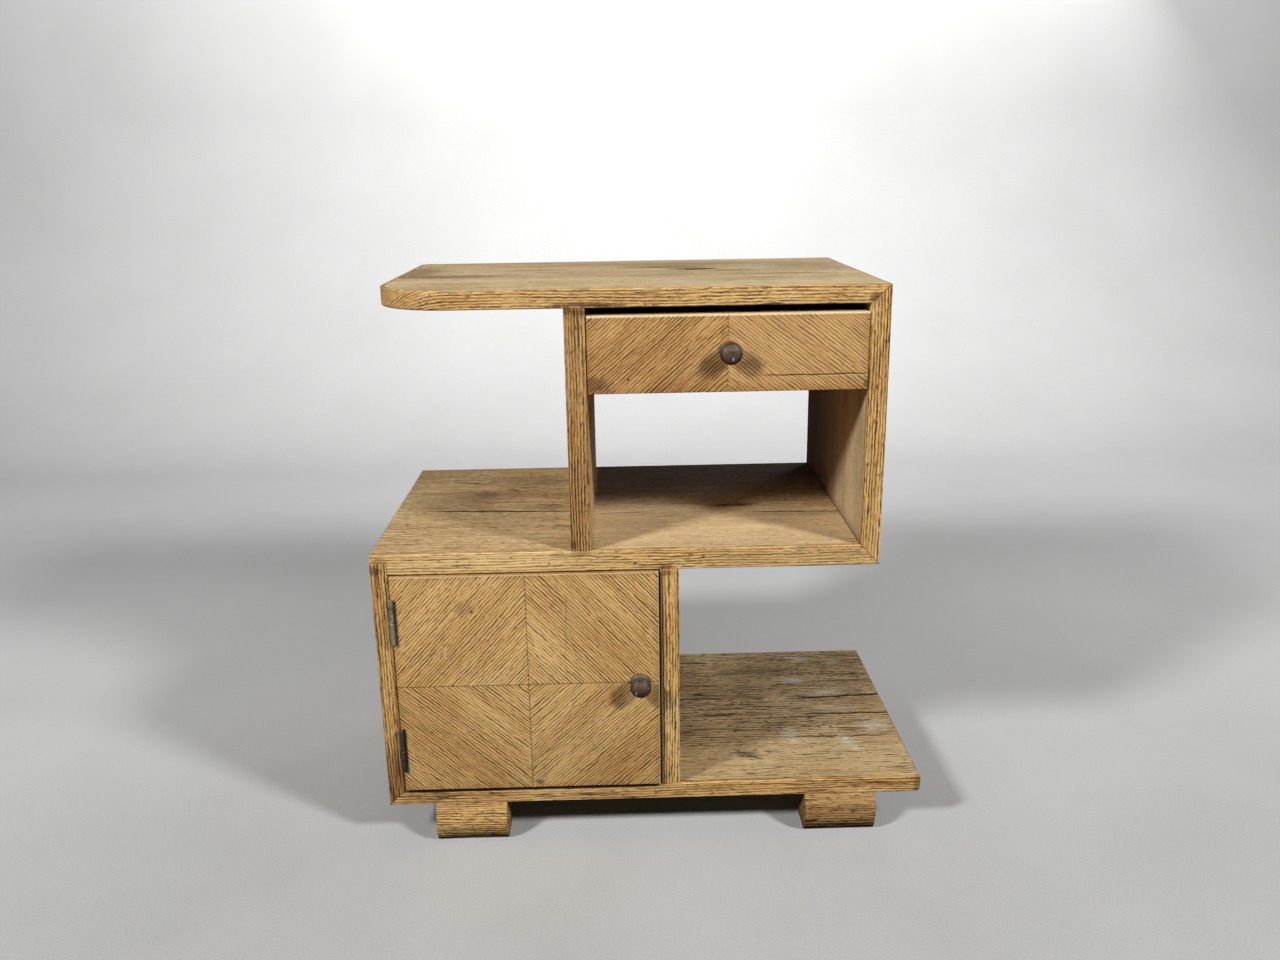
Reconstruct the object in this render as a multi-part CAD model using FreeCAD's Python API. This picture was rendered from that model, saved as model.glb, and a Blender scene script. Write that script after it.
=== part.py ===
import FreeCAD, Part
import math
import os
from FreeCAD import Vector

# An asymmetrical bedside cabinet in veneered oak. The boards make an S seen from the front: a cupboard
# at the lower left, a drawer over an open compartment at the upper right, a top that runs out to the
# left with rounded corners, and a bottom board that runs out to the right as an open shelf.
# X runs to the right, Y from the front to the back, Z up. The origin is on the floor, under the middle
# of the whole piece, knobs included.

# Boards
overall_width = 588.0
carcass_depth = 330.0
bottom_thickness = 18.0
middle_thickness = 22.0
top_thickness = 18.5
left_side_thickness = 18.0
right_side_thickness = 20.0
upper_partition_thickness = 21.0
lower_partition_thickness = 20.0
cupboard_width = 282.5
cupboard_height = 252.5
compartment_width = 280.0
compartment_height = 249.5
shelf_overhang = 58.0
top_setback = 19.0
top_front_radius = 80.0
top_rear_radius = 12.0

# Solid edge bands along the front, and round the top's left end
lipping_depth = 5.0
lipping_tail = 6.0
corner_lap = 9.5
arris_radius = 0.8

# Loose tongues in the mitred corners, and dowels in the ends of the partitions
tongue_thickness = 4.0
tongue_width = 14.0
tongue_end_inset = 25.0
tongue_seat_share = 0.42
dowel_radius = 4.0
dowel_length = 28.0
dowel_board_depth = 11.0
dowel_end_inset = 50.0
dowel_count = 3
glue_gap = 0.1

# Blocks with a rounded nose that the cabinet stands on
foot_width = 79.0
foot_height = 45.0
foot_depth = 36.0
foot_end_inset = 50.0
foot_nose = 8.0
foot_nose_tuck = 1.0
rear_foot_inset = 12.0
foot_screw_inset = 20.0
foot_counterbore_radius = 5.0
foot_counterbore_depth = 15.0

# Plywood back of the cupboard
back_thickness = 4.0
back_rebate = 6.0
back_pin_end_inset = 20.0
back_pin_count = 5

# Drawer
drawer_front_height = 77.0
drawer_front_thickness = 20.0
drawer_top_gap = 8.0
drawer_side_gap = 1.0
drawer_proud = 1.0
drawer_side_thickness = 10.0
drawer_side_rise = 14.0
drawer_side_drop = 9.0
drawer_back_thickness = 10.0
drawer_back_drop = 6.0
drawer_rear_gap = 1.0
drawer_bottom_thickness = 4.0
drawer_bottom_rise = 6.0
drawer_groove_depth = 4.0
drawer_groove_gap = 0.15
dovetail_length = 12.0
dovetail_count = 2
dovetail_root_share = 0.5
dovetail_tip_share = 0.72
drawer_pin_count = 2
running_gap = 0.3

# Battens under the drawer's sides, and the rail behind it
runner_width = 12.0
runner_height = 12.0
runner_front_gap = 3.0
runner_screw_inset = 45.0
rail_thickness = 12.0

# Door
door_thickness = 19.0
door_gap = 1.5
door_proud = 4.0
door_stop_width = 30.0
door_stop_depth = 14.0
door_stop_height = 10.0
door_stop_inset = 60.0
veneer_thickness = 1.0

# Butt hinges with two knuckles: the cabinet's half below, the door's half above
hinge_length = 50.0
hinge_end_inset = 25.0
hinge_leaf_width = 14.0
hinge_leaf_thickness = 1.2
knuckle_radius = 3.25
knuckle_gap = 0.4
hinge_axis_inset = 2.75
hinge_pin_radius = 1.4
hinge_pin_fit = 0.05
hinge_notch_gap = 0.4
hinge_screw_count = 3
hinge_screw_end_inset = 8.0
hinge_screw_share = 0.62

# Turned knobs
knob_reach = 20.0
knob_base_radius = 11.0
knob_base_thickness = 3.0
knob_neck_radius = 7.6
knob_cap_radius = 11.2
knob_cap_start = 10.5
knob_rim_reach = 16.4
knob_bead = 0.9
knob_screw_bite = 10.0
door_knob_inset = 20.5
drawer_knob_rise = 2.0
drawer_knob_aside = 1.5

# Ball catch in the door's top edge
catch_inset = 24.0
catch_back_inset = 6.0
catch_barrel_radius = 4.2
catch_barrel_length = 15.0
catch_barrel_floor = 1.5
catch_ball_radius = 3.0
catch_ball_fit = 0.08
catch_entry = 0.3
catch_spring_outer_radius = 2.6
catch_spring_inner_radius = 2.0
catch_spring_gap = 0.05
strike_length = 26.0
strike_width = 8.0
strike_thickness = 1.0
strike_hole_radius = 1.9
strike_pocket_depth = 3.0
strike_screw_inset = 4.0

# Screws and nails: radius of the shank, radius and height of the head, length
foot_screw_sizes = (2.2, 4.2, 3.0, 42.0)
runner_screw_sizes = (1.6, 3.0, 2.0, 22.0)
hinge_screw_sizes = (1.2, 2.3, 0.9, 13.0)
strike_screw_sizes = (0.9, 1.7, 0.7, 9.0)
knob_screw_sizes = (2.0, 4.2, 2.2, 26.0)
pin_sizes = (0.7, 1.3, 0.6, 16.0)
screw_slot_share = 0.22

# Every cut runs this far past the face that it opens
overrun = 2.0
tolerance = 0.001

# Places across the front
left_x = -overall_width / 2
right_x = overall_width / 2
left_side_in_x = left_x + left_side_thickness
lower_partition_in_x = left_side_in_x + cupboard_width
lower_partition_out_x = lower_partition_in_x + lower_partition_thickness
right_side_out_x = right_x - shelf_overhang
right_side_in_x = right_side_out_x - right_side_thickness
upper_partition_in_x = right_side_in_x - compartment_width
upper_partition_out_x = upper_partition_in_x - upper_partition_thickness
top_left_x = left_x + top_setback
band_end_x = top_left_x + top_rear_radius + lipping_tail

# Places from front to back: the door's knob stands furthest forward
forward_reach = door_proud + knob_reach
front_y = (forward_reach - carcass_depth) / 2
back_y = front_y + carcass_depth
lipping_y = front_y + lipping_depth

# Heights
bottom_under_z = foot_height
bottom_top_z = bottom_under_z + bottom_thickness
middle_under_z = bottom_top_z + cupboard_height
middle_top_z = middle_under_z + middle_thickness
top_under_z = middle_top_z + compartment_height
top_over_z = top_under_z + top_thickness
lap_z = middle_top_z - corner_lap


def block(x0, x1, y0, y1, z0, z1):
    """A box between two corners."""
    return Part.makeBox(x1 - x0, y1 - y0, z1 - z0, Vector(x0, y0, z0))


def prism(outline, y0, y1):
    """An outline of (x, z) points, drawn out from y0 to y1."""
    corners = [Vector(x, y0, z) for x, z in outline]
    face = Part.Face(Part.makePolygon(corners + corners[:1]))
    return face.extrude(Vector(0, y1 - y0, 0))


def rod(radius, start, end):
    """A round bar between two points."""
    return Part.makeCylinder(radius, (end - start).Length, start, end - start)


def turned(edges, place, outward):
    """Edges in the XZ plane, turned about Z, then set at a place with Z along outward."""
    solid = Part.Face(Part.Wire(edges)).revolve(Vector(0, 0, 0), Vector(0, 0, 1), 360)
    solid.Placement = FreeCAD.Placement(place, FreeCAD.Rotation(Vector(0, 0, 1), outward))
    return solid


def line(start, end):
    """A straight edge between two (radius, height) points."""
    return Part.makeLine(Vector(start[0], 0, start[1]), Vector(end[0], 0, end[1]))


def arc(start, through, end):
    """A round edge through three (radius, height) points."""
    points = [Vector(radius, 0, height) for radius, height in (start, through, end)]
    return Part.Arc(*points).toShape()


def polyline(points):
    """Straight edges through the points and back to the first."""
    return [line(a, b) for a, b in zip(points, points[1:] + points[:1])]


def cut_all(solid, cutters):
    """The solid without any of the cutters."""
    for cutter in cutters:
        solid = solid.cut(cutter)
    return solid


def spread(first, last, count):
    """Evenly spaced places, the first and last included."""
    return [first + (last - first) * step / (count - 1) for step in range(count)]


def cell_middles(first, last, count):
    """The middles of equal cells between two places."""
    return [first + (last - first) * (2 * step + 1) / (2 * count) for step in range(count)]


class Fixing:
    """A screw or nail, set with its head facing outward.

    A sunk head is a cone let in flush, a flat head a disc let in flush, and a proud head a disc that
    stands on the surface.
    """

    def __init__(self, sizes, style):
        self.shank, self.head, self.head_height, self.length = sizes
        self.style = style

    def profile(self, gap):
        """Half of the section, from the rim of the head to the middle of the tip, gap larger all round."""
        shank = self.shank + gap
        head = self.head + gap
        tip = -self.length - gap
        if self.style == "sunk":
            rim = [(head, 0), (shank, -self.head_height)]
        elif self.style == "flat":
            rim = [(head, 0), (head, -self.head_height - gap), (shank, -self.head_height - gap)]
        else:
            rim = [(head, self.head_height), (head, 0), (shank, 0)]
        return rim + [(shank, tip), (0, tip)]

    def solid(self, place, outward):
        """The fixing itself, with a slot across a screw's head."""
        head_top = self.head_height if self.style == "proud" else 0
        body = turned(polyline([(0, head_top)] + self.profile(0)), place, outward)
        if self.style == "flat":
            return body
        slot_half = self.head * screw_slot_share / 2
        slot_floor = head_top - self.head_height / 2
        slot = block(-self.head - overrun, self.head + overrun, -slot_half, slot_half,
                     slot_floor, head_top + overrun)
        slot.Placement = FreeCAD.Placement(place, FreeCAD.Rotation(Vector(0, 0, 1), outward))
        return body.cut(slot)

    def hole(self, place, outward):
        """What the pieces round the fixing lose to it."""
        if self.style == "proud":
            tip = place - outward * (self.length + glue_gap)
            return rod(self.shank + glue_gap, tip, place + outward * overrun)
        mouth = [(0, overrun), (self.head + glue_gap, overrun)]
        return turned(polyline(mouth + self.profile(glue_gap)), place, outward)


foot_screw = Fixing(foot_screw_sizes, "sunk")
runner_screw = Fixing(runner_screw_sizes, "sunk")
hinge_screw = Fixing(hinge_screw_sizes, "sunk")
strike_screw = Fixing(strike_screw_sizes, "sunk")
knob_screw = Fixing(knob_screw_sizes, "proud")
pin = Fixing(pin_sizes, "flat")


# Outlines of the boards, as the front shows them

top_outline = [(top_left_x, top_under_z), (right_side_in_x, top_under_z),
               (right_side_out_x, top_over_z), (top_left_x, top_over_z)]
right_side_outline = [(right_side_in_x, top_under_z), (right_side_out_x, top_over_z),
                      (right_side_out_x, middle_under_z), (right_side_in_x, middle_top_z)]
middle_outline = [(left_x, middle_top_z), (right_side_in_x, middle_top_z),
                  (right_side_out_x, middle_under_z), (left_side_in_x, middle_under_z)]
left_side_outline = [(left_x, middle_top_z), (left_side_in_x, middle_under_z),
                     (left_side_in_x, bottom_top_z), (left_x, bottom_under_z)]
bottom_outline = [(left_x, bottom_under_z), (left_side_in_x, bottom_top_z),
                  (right_x, bottom_top_z), (right_x, bottom_under_z)]
upper_partition_outline = [(upper_partition_out_x, middle_top_z), (upper_partition_in_x, middle_top_z),
                           (upper_partition_in_x, top_under_z), (upper_partition_out_x, top_under_z)]
lower_partition_outline = [(lower_partition_in_x, bottom_top_z), (lower_partition_out_x, bottom_top_z),
                           (lower_partition_out_x, middle_under_z), (lower_partition_in_x, middle_under_z)]

# At the middle board's left end the band laps over the left side's band instead of meeting in a mitre
middle_lipping_outline = [(left_x, lap_z), (left_x, middle_top_z), (right_side_in_x, middle_top_z),
                          (right_side_out_x, middle_under_z), (left_side_in_x, middle_under_z),
                          (left_side_in_x, lap_z)]
left_side_lipping_outline = [(left_x, lap_z), (left_side_in_x, lap_z),
                             (left_side_in_x, bottom_top_z), (left_x, bottom_under_z)]


def board(outline):
    """A board behind its front edge band."""
    return prism(outline, lipping_y, back_y)


def lipping(outline):
    """A front edge band with its front arrises eased."""
    band = prism(outline, front_y, lipping_y)
    front_arrises = []
    for edge in band.Edges:
        start, end = edge.Vertexes[0].Point, edge.Vertexes[-1].Point
        in_front = abs(start.y - front_y) < tolerance and abs(end.y - front_y) < tolerance
        square = abs(start.x - end.x) < tolerance or abs(start.z - end.z) < tolerance
        if in_front and square:
            front_arrises.append(edge)
    return band.makeFillet(arris_radius, front_arrises)


def top_plan(inset):
    """The top seen from above. An inset one leaves the band at the front, left and rear left corner."""
    end_x = right_side_out_x + overrun
    rear_y = back_y - inset
    corners = [(end_x, front_y + inset), (top_left_x + inset, front_y + inset), (top_left_x + inset, rear_y)]
    if inset > 0:
        corners += [(band_end_x, rear_y), (band_end_x, back_y)]
    corners.append((end_x, back_y))
    points = [Vector(x, y, top_under_z - overrun) for x, y in corners]
    plan = Part.Face(Part.makePolygon(points + points[:1])).extrude(Vector(0, 0, top_thickness + 2 * overrun))
    for y, radius in ((front_y + inset, top_front_radius), (rear_y, top_rear_radius)):
        upright = [edge for edge in plan.Edges
                   if all(abs(v.X - top_left_x - inset) < tolerance and abs(v.Y - y) < tolerance
                          for v in edge.Vertexes)]
        plan = plan.makeFillet(radius - inset, upright)
    return plan


def make_top():
    """The top board and the band that runs round its rounded left end."""
    slab = prism(top_outline, front_y, back_y).common(top_plan(0))
    rim = []
    for edge in slab.Edges:
        middle = edge.valueAt((edge.FirstParameter + edge.LastParameter) / 2)
        on_face = abs(middle.z - top_over_z) < tolerance or abs(middle.z - top_under_z) < tolerance
        at_front = abs(middle.y - front_y) < tolerance
        at_left = middle.x < band_end_x - tolerance
        if on_face and (at_front or at_left):
            rim.append(edge)
    slab = slab.makeFillet(arris_radius, rim)
    inner_plan = top_plan(lipping_depth)
    return slab.common(inner_plan), slab.cut(inner_plan)


def tongue(inner, outer, gap):
    """A loose tongue square to a mitre that runs from an inner to an outer corner."""
    along = Vector(outer[0] - inner[0], 0, outer[1] - inner[1])
    seat = Vector(inner[0], 0, inner[1]) + along * tongue_seat_share
    along.normalize()
    across = Vector(-along.z, 0, along.x)
    half_thickness = tongue_thickness / 2 + gap
    half_width = tongue_width / 2 + gap
    corners = []
    for a, b in ((-1, -1), (1, -1), (1, 1), (-1, 1)):
        corner = seat + along * a * half_thickness + across * b * half_width
        corners.append((corner.x, corner.z))
    return prism(corners, front_y + tongue_end_inset - gap, back_y - tongue_end_inset + gap)


mitres = {
    "top_right": ((right_side_in_x, top_under_z), (right_side_out_x, top_over_z)),
    "middle_right": ((right_side_in_x, middle_top_z), (right_side_out_x, middle_under_z)),
    "middle_left": ((left_side_in_x, middle_under_z), (left_x, middle_top_z)),
    "bottom_left": ((left_side_in_x, bottom_top_z), (left_x, bottom_under_z)),
}


def partition_dowels(centre_x, joint_z, into_board, gap):
    """Dowels across the joint of a partition's end: into_board is 1 upwards and -1 downwards."""
    bars = []
    for y in spread(front_y + dowel_end_inset, back_y - dowel_end_inset, dowel_count):
        board_end = joint_z + into_board * (dowel_board_depth + gap)
        partition_end = joint_z - into_board * (dowel_length - dowel_board_depth + gap)
        bars.append(rod(dowel_radius + gap, Vector(centre_x, y, board_end),
                        Vector(centre_x, y, partition_end)))
    return bars


upper_partition_mid_x = (upper_partition_out_x + upper_partition_in_x) / 2
lower_partition_mid_x = (lower_partition_in_x + lower_partition_out_x) / 2
dowel_joints = {
    "top": (upper_partition_mid_x, top_under_z, 1),
    "middle_above": (upper_partition_mid_x, middle_top_z, -1),
    "middle_below": (lower_partition_mid_x, middle_under_z, 1),
    "bottom": (lower_partition_mid_x, bottom_top_z, -1),
}

# Feet
left_foot_x = left_x + foot_end_inset
right_foot_x = right_x - foot_end_inset - foot_width
rear_foot_y = back_y - rear_foot_inset - foot_depth


def foot(x, y):
    """A block whose nose bulges forward of y, with its counterbores."""
    top_point = Vector(x, y + foot_nose_tuck, foot_height)
    nose_point = Vector(x, y - foot_nose, foot_height / 2)
    toe_point = Vector(x, y + foot_nose_tuck, 0)
    heel_point = Vector(x, y + foot_depth, 0)
    heel_top_point = Vector(x, y + foot_depth, foot_height)
    edges = [
        Part.Arc(top_point, nose_point, toe_point).toShape(),
        Part.makeLine(toe_point, heel_point),
        Part.makeLine(heel_point, heel_top_point),
        Part.makeLine(heel_top_point, top_point),
    ]
    solid = Part.Face(Part.Wire(edges)).extrude(Vector(foot_width, 0, 0))
    for place in foot_screw_places(x, y):
        bore_foot = Vector(place.x, place.y, -overrun)
        solid = solid.cut(rod(foot_counterbore_radius, bore_foot, place))
        solid = solid.cut(foot_screw.hole(place, Vector(0, 0, -1)))
    return solid


def foot_screw_places(x, y):
    """Where the two screws' heads sit in a foot."""
    return [Vector(screw_x, y + foot_depth / 2, foot_counterbore_depth)
            for screw_x in spread(x + foot_screw_inset, x + foot_width - foot_screw_inset, 2)]


foot_places = {
    "left_front_foot": (left_foot_x, front_y),
    "right_front_foot": (right_foot_x, front_y),
    "left_rear_foot": (left_foot_x, rear_foot_y),
    "right_rear_foot": (right_foot_x, rear_foot_y),
}

# Back of the cupboard
back_panel_y = back_y - back_thickness
back_left_x = left_side_in_x - back_rebate
back_right_x = lower_partition_in_x + back_rebate


def back_pin_places():
    """Nails down both edges of the plywood, over the rebates."""
    places = []
    heights = spread(bottom_top_z + back_pin_end_inset, middle_under_z - back_pin_end_inset, back_pin_count)
    for x in (left_side_in_x - back_rebate / 2, lower_partition_in_x + back_rebate / 2):
        places += [Vector(x, back_y, z) for z in heights]
    return places


# Drawer
drawer_face_y = front_y - drawer_proud
drawer_core_y = drawer_face_y + veneer_thickness
drawer_inner_y = drawer_face_y + drawer_front_thickness
drawer_end_y = back_y - rail_thickness - drawer_rear_gap
drawer_left_x = upper_partition_in_x + drawer_side_gap
drawer_right_x = right_side_in_x - drawer_side_gap
drawer_mid_x = (drawer_left_x + drawer_right_x) / 2
drawer_top_z = top_under_z - drawer_top_gap
drawer_low_z = drawer_top_z - drawer_front_height
drawer_side_low_z = drawer_low_z + drawer_side_rise
drawer_side_top_z = drawer_top_z - drawer_side_drop
drawer_panel_z = drawer_side_low_z + drawer_bottom_rise
drawer_panel_top_z = drawer_panel_z + drawer_bottom_thickness
drawer_knob_x = drawer_mid_x + drawer_knob_aside
drawer_knob_z = (drawer_low_z + drawer_top_z) / 2 + drawer_knob_rise
runner_top_z = drawer_side_low_z - running_gap
runner_front_y = drawer_inner_y + runner_front_gap


def dovetails(x0, x1):
    """The tails on the front end of a drawer side, which lie in the drawer's front."""
    pitch = (drawer_side_top_z - drawer_side_low_z) / dovetail_count
    tip_y = drawer_inner_y - dovetail_length
    tails = []
    for centre_z in cell_middles(drawer_side_low_z, drawer_side_top_z, dovetail_count):
        root = pitch * dovetail_root_share / 2
        tip = pitch * dovetail_tip_share / 2
        corners = [Vector(x0, drawer_inner_y, centre_z - root), Vector(x0, tip_y, centre_z - tip),
                   Vector(x0, tip_y, centre_z + tip), Vector(x0, drawer_inner_y, centre_z + root)]
        face = Part.Face(Part.makePolygon(corners + corners[:1]))
        tails.append(face.extrude(Vector(x1 - x0, 0, 0)))
    return tails


def drawer_bottom_panel(gap):
    """The drawer's bottom, or with a gap the groove round it."""
    inset = drawer_side_thickness - drawer_groove_depth + drawer_groove_gap - gap
    return block(drawer_left_x + inset, drawer_right_x - inset,
                 drawer_inner_y - drawer_groove_depth + drawer_groove_gap - gap, drawer_end_y + gap,
                 drawer_panel_z - gap, drawer_panel_top_z + gap)


def drawer_pin_places():
    """Nails through the drawer's sides into its back, as (place, outward)."""
    places = []
    low = drawer_panel_top_z
    high = drawer_side_top_z - drawer_back_drop
    y = drawer_end_y - drawer_back_thickness / 2
    for x, outward in ((drawer_left_x, Vector(-1, 0, 0)), (drawer_right_x, Vector(1, 0, 0))):
        for z in cell_middles(low, high, drawer_pin_count):
            places.append((Vector(x, y, z), outward))
    return places


def runner_screw_places(left):
    """Screws through a runner into the upright beside it, as (place, outward)."""
    x = upper_partition_in_x + runner_width if left else right_side_in_x - runner_width
    outward = Vector(1 if left else -1, 0, 0)
    z = runner_top_z - runner_height / 2
    depths = spread(runner_front_y + runner_screw_inset, back_y - runner_screw_inset, 2)
    return [(Vector(x, y, z), outward) for y in depths]


def knob(place):
    """A turned knob: a base disc, a cove, a beaded rim and a low dome, bored for its screw."""
    cap = knob_cap_radius - knob_bead
    cove_reach = (knob_base_thickness + knob_cap_start) / 2
    bead_reach = (knob_cap_start + knob_rim_reach) / 2
    rise = knob_reach - knob_rim_reach
    dome_radius = (cap * cap + rise * rise) / (2 * rise)
    half_angle = math.asin(cap / dome_radius) / 2
    dome_middle = (dome_radius * math.sin(half_angle),
                   knob_reach - dome_radius * (1 - math.cos(half_angle)))
    base_edge = (knob_base_radius, knob_base_thickness)
    edges = [
        line((0, 0), (knob_base_radius, 0)),
        line((knob_base_radius, 0), base_edge),
        arc(base_edge, (knob_neck_radius, cove_reach), (cap, knob_cap_start)),
        arc((cap, knob_cap_start), (knob_cap_radius, bead_reach), (cap, knob_rim_reach)),
        arc((cap, knob_rim_reach), dome_middle, (0, knob_reach)),
        line((0, knob_reach), (0, 0)),
    ]
    outward = Vector(0, -1, 0)
    bore_end = place + outward * (knob_screw_bite + glue_gap)
    bore = rod(knob_screw.shank + glue_gap, place - outward * overrun, bore_end)
    return turned(edges, place, outward).cut(bore)


# Door
door_left_x = left_side_in_x + door_gap
door_right_x = lower_partition_in_x - door_gap
door_low_z = bottom_top_z + door_gap
door_top_z = middle_under_z - door_gap
door_face_y = front_y - door_proud
door_core_y = door_face_y + veneer_thickness
door_inner_y = door_face_y + door_thickness
door_mid_x = (door_left_x + door_right_x) / 2
door_mid_z = (door_low_z + door_top_z) / 2
door_knob_x = door_right_x - door_knob_inset

# Hinges
hinge_x = left_side_in_x + hinge_axis_inset
hinge_y = door_face_y
hinge_low_places = {
    "lower": door_low_z + hinge_end_inset,
    "upper": door_top_z - hinge_end_inset - hinge_length,
}
door_leaf_y = hinge_y + knuckle_radius + hinge_notch_gap
door_leaf_end_y = door_leaf_y + hinge_leaf_width
door_leaf_in_x = door_left_x + hinge_leaf_thickness
frame_leaf_end_y = front_y + hinge_leaf_width
frame_leaf_in_x = left_side_in_x - hinge_leaf_thickness


def knuckle(z0, z1):
    """A knuckle with its bore for the pin."""
    bar = rod(knuckle_radius, Vector(hinge_x, hinge_y, z0), Vector(hinge_x, hinge_y, z1))
    bore = rod(hinge_pin_radius + hinge_pin_fit, Vector(hinge_x, hinge_y, z0 - overrun),
               Vector(hinge_x, hinge_y, z1 + overrun))
    return bar, bore


def frame_leaf_pocket(z):
    """The shallow recess for the cabinet's leaf."""
    return block(frame_leaf_in_x, left_side_in_x, front_y, frame_leaf_end_y, z, z + hinge_length)


def door_leaf_pocket(z):
    """The shallow recess for the door's leaf."""
    return block(door_left_x, door_leaf_in_x, door_leaf_y, door_leaf_end_y, z, z + hinge_length)


def door_leaf_wrap(z):
    """The strip of the door's leaf that runs forward to its knuckle."""
    middle = z + hinge_length / 2 + knuckle_gap / 2
    return block(door_left_x, door_leaf_in_x, hinge_y, door_leaf_y, middle, z + hinge_length)


def door_barrel_notch(z):
    """What the door's corner loses to the knuckles."""
    radius = knuckle_radius + hinge_notch_gap
    return rod(radius, Vector(hinge_x, hinge_y, z - hinge_notch_gap),
               Vector(hinge_x, hinge_y, z + hinge_length + hinge_notch_gap))


def hinge_screw_heights(z):
    """Heights of a leaf's screws."""
    return spread(z + hinge_screw_end_inset, z + hinge_length - hinge_screw_end_inset, hinge_screw_count)


def frame_screw_places(z):
    """Screws of the cabinet's leaf, as places whose heads face the opening."""
    y = front_y + hinge_leaf_width * hinge_screw_share
    return [Vector(left_side_in_x, y, height) for height in hinge_screw_heights(z)]


def door_screw_places(z):
    """Screws of the door's leaf, as places whose heads face the gap."""
    y = door_leaf_y + hinge_leaf_width * (1 - hinge_screw_share)
    return [Vector(door_left_x, y, height) for height in hinge_screw_heights(z)]


def frame_leaf(z):
    """The cabinet's half of a hinge, with the lower knuckle."""
    middle = z + hinge_length / 2 - knuckle_gap / 2
    bar, bore = knuckle(z, middle)
    wrap = block(frame_leaf_in_x, left_side_in_x, hinge_y, front_y, z, middle)
    leaf = frame_leaf_pocket(z).fuse(wrap).fuse(bar).cut(bore).removeSplitter()
    return cut_all(leaf, [hinge_screw.hole(place, Vector(1, 0, 0)) for place in frame_screw_places(z)])


def door_leaf(z):
    """The door's half of a hinge, with the upper knuckle."""
    middle = z + hinge_length / 2 + knuckle_gap / 2
    bar, bore = knuckle(middle, z + hinge_length)
    leaf = door_leaf_pocket(z).fuse(door_leaf_wrap(z)).fuse(bar).cut(bore).removeSplitter()
    return cut_all(leaf, [hinge_screw.hole(place, Vector(-1, 0, 0)) for place in door_screw_places(z)])


def hinge_pin(z):
    """The pin that both knuckles share."""
    return rod(hinge_pin_radius, Vector(hinge_x, hinge_y, z), Vector(hinge_x, hinge_y, z + hinge_length))


# Ball catch
catch_x = door_right_x - catch_inset
catch_y = door_inner_y - catch_back_inset
ball_z = middle_under_z + catch_entry - catch_ball_radius
spring_low_z = door_top_z - catch_barrel_length + catch_barrel_floor
spring_seat = math.sqrt(catch_ball_radius ** 2 - catch_spring_inner_radius ** 2)
spring_top_z = ball_z - spring_seat - catch_spring_gap
strike_over_z = middle_under_z + strike_thickness


def catch_bar(radius, z0, z1):
    """A round bar on the catch's axis."""
    return rod(radius, Vector(catch_x, catch_y, z0), Vector(catch_x, catch_y, z1))


def catch_barrel():
    """The sleeve that holds the spring and the ball."""
    sleeve = catch_bar(catch_barrel_radius, door_top_z - catch_barrel_length, door_top_z)
    return sleeve.cut(catch_bar(catch_ball_radius + catch_ball_fit, spring_low_z, door_top_z + overrun))


def catch_spring():
    """The spring under the ball, as a plain tube."""
    tube = catch_bar(catch_spring_outer_radius, spring_low_z, spring_top_z)
    return tube.cut(catch_bar(catch_spring_inner_radius, spring_low_z - overrun, spring_top_z + overrun))


def strike_screw_places():
    """The two screws of the strike plate, heads facing down."""
    reach = strike_length / 2 - strike_screw_inset
    return [Vector(x, catch_y, middle_under_z) for x in (catch_x - reach, catch_x + reach)]


def strike_pocket():
    """The recess for the strike plate in the middle board's underside."""
    return block(catch_x - strike_length / 2, catch_x + strike_length / 2,
                 catch_y - strike_width / 2, catch_y + strike_width / 2,
                 middle_under_z, strike_over_z)


def catch_strike():
    """The plate that the ball springs into."""
    hole = catch_bar(strike_hole_radius, middle_under_z - overrun, strike_over_z + overrun)
    plate = strike_pocket().cut(hole)
    return cut_all(plate, [strike_screw.hole(place, Vector(0, 0, -1)) for place in strike_screw_places()])


# The door shuts against this block
stop_right_x = door_right_x - door_stop_inset
stop_y = door_inner_y + running_gap

parts = {}

# Carcass
all_foot_screws = []
foot_screw_holes = []
for foot_x, foot_y in foot_places.values():
    for place in foot_screw_places(foot_x, foot_y):
        all_foot_screws.append(foot_screw.solid(place, Vector(0, 0, -1)))
        foot_screw_holes.append(foot_screw.hole(place, Vector(0, 0, -1)))
tongue_slots = {name: tongue(inner, outer, glue_gap) for name, (inner, outer) in mitres.items()}
dowel_holes = {name: partition_dowels(*joint, glue_gap) for name, joint in dowel_joints.items()}
back_pin_holes = [pin.hole(place, Vector(0, 1, 0)) for place in back_pin_places()]
back_rebate_cut = block(back_left_x, back_right_x, back_panel_y, back_y + overrun,
                        bottom_top_z, middle_under_z)
left_runner_holes = [runner_screw.hole(*place) for place in runner_screw_places(True)]
right_runner_holes = [runner_screw.hole(*place) for place in runner_screw_places(False)]
frame_screws = []
frame_screw_holes = []
frame_pockets = []
for hinge_z in hinge_low_places.values():
    frame_pockets.append(frame_leaf_pocket(hinge_z))
    for place in frame_screw_places(hinge_z):
        frame_screws.append(hinge_screw.solid(place, Vector(1, 0, 0)))
        frame_screw_holes.append(hinge_screw.hole(place, Vector(1, 0, 0)))
strike_holes = [strike_screw.hole(place, Vector(0, 0, -1)) for place in strike_screw_places()]
strike_pocket_bore = catch_bar(strike_hole_radius, middle_under_z - overrun,
                               strike_over_z + strike_pocket_depth)

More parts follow.
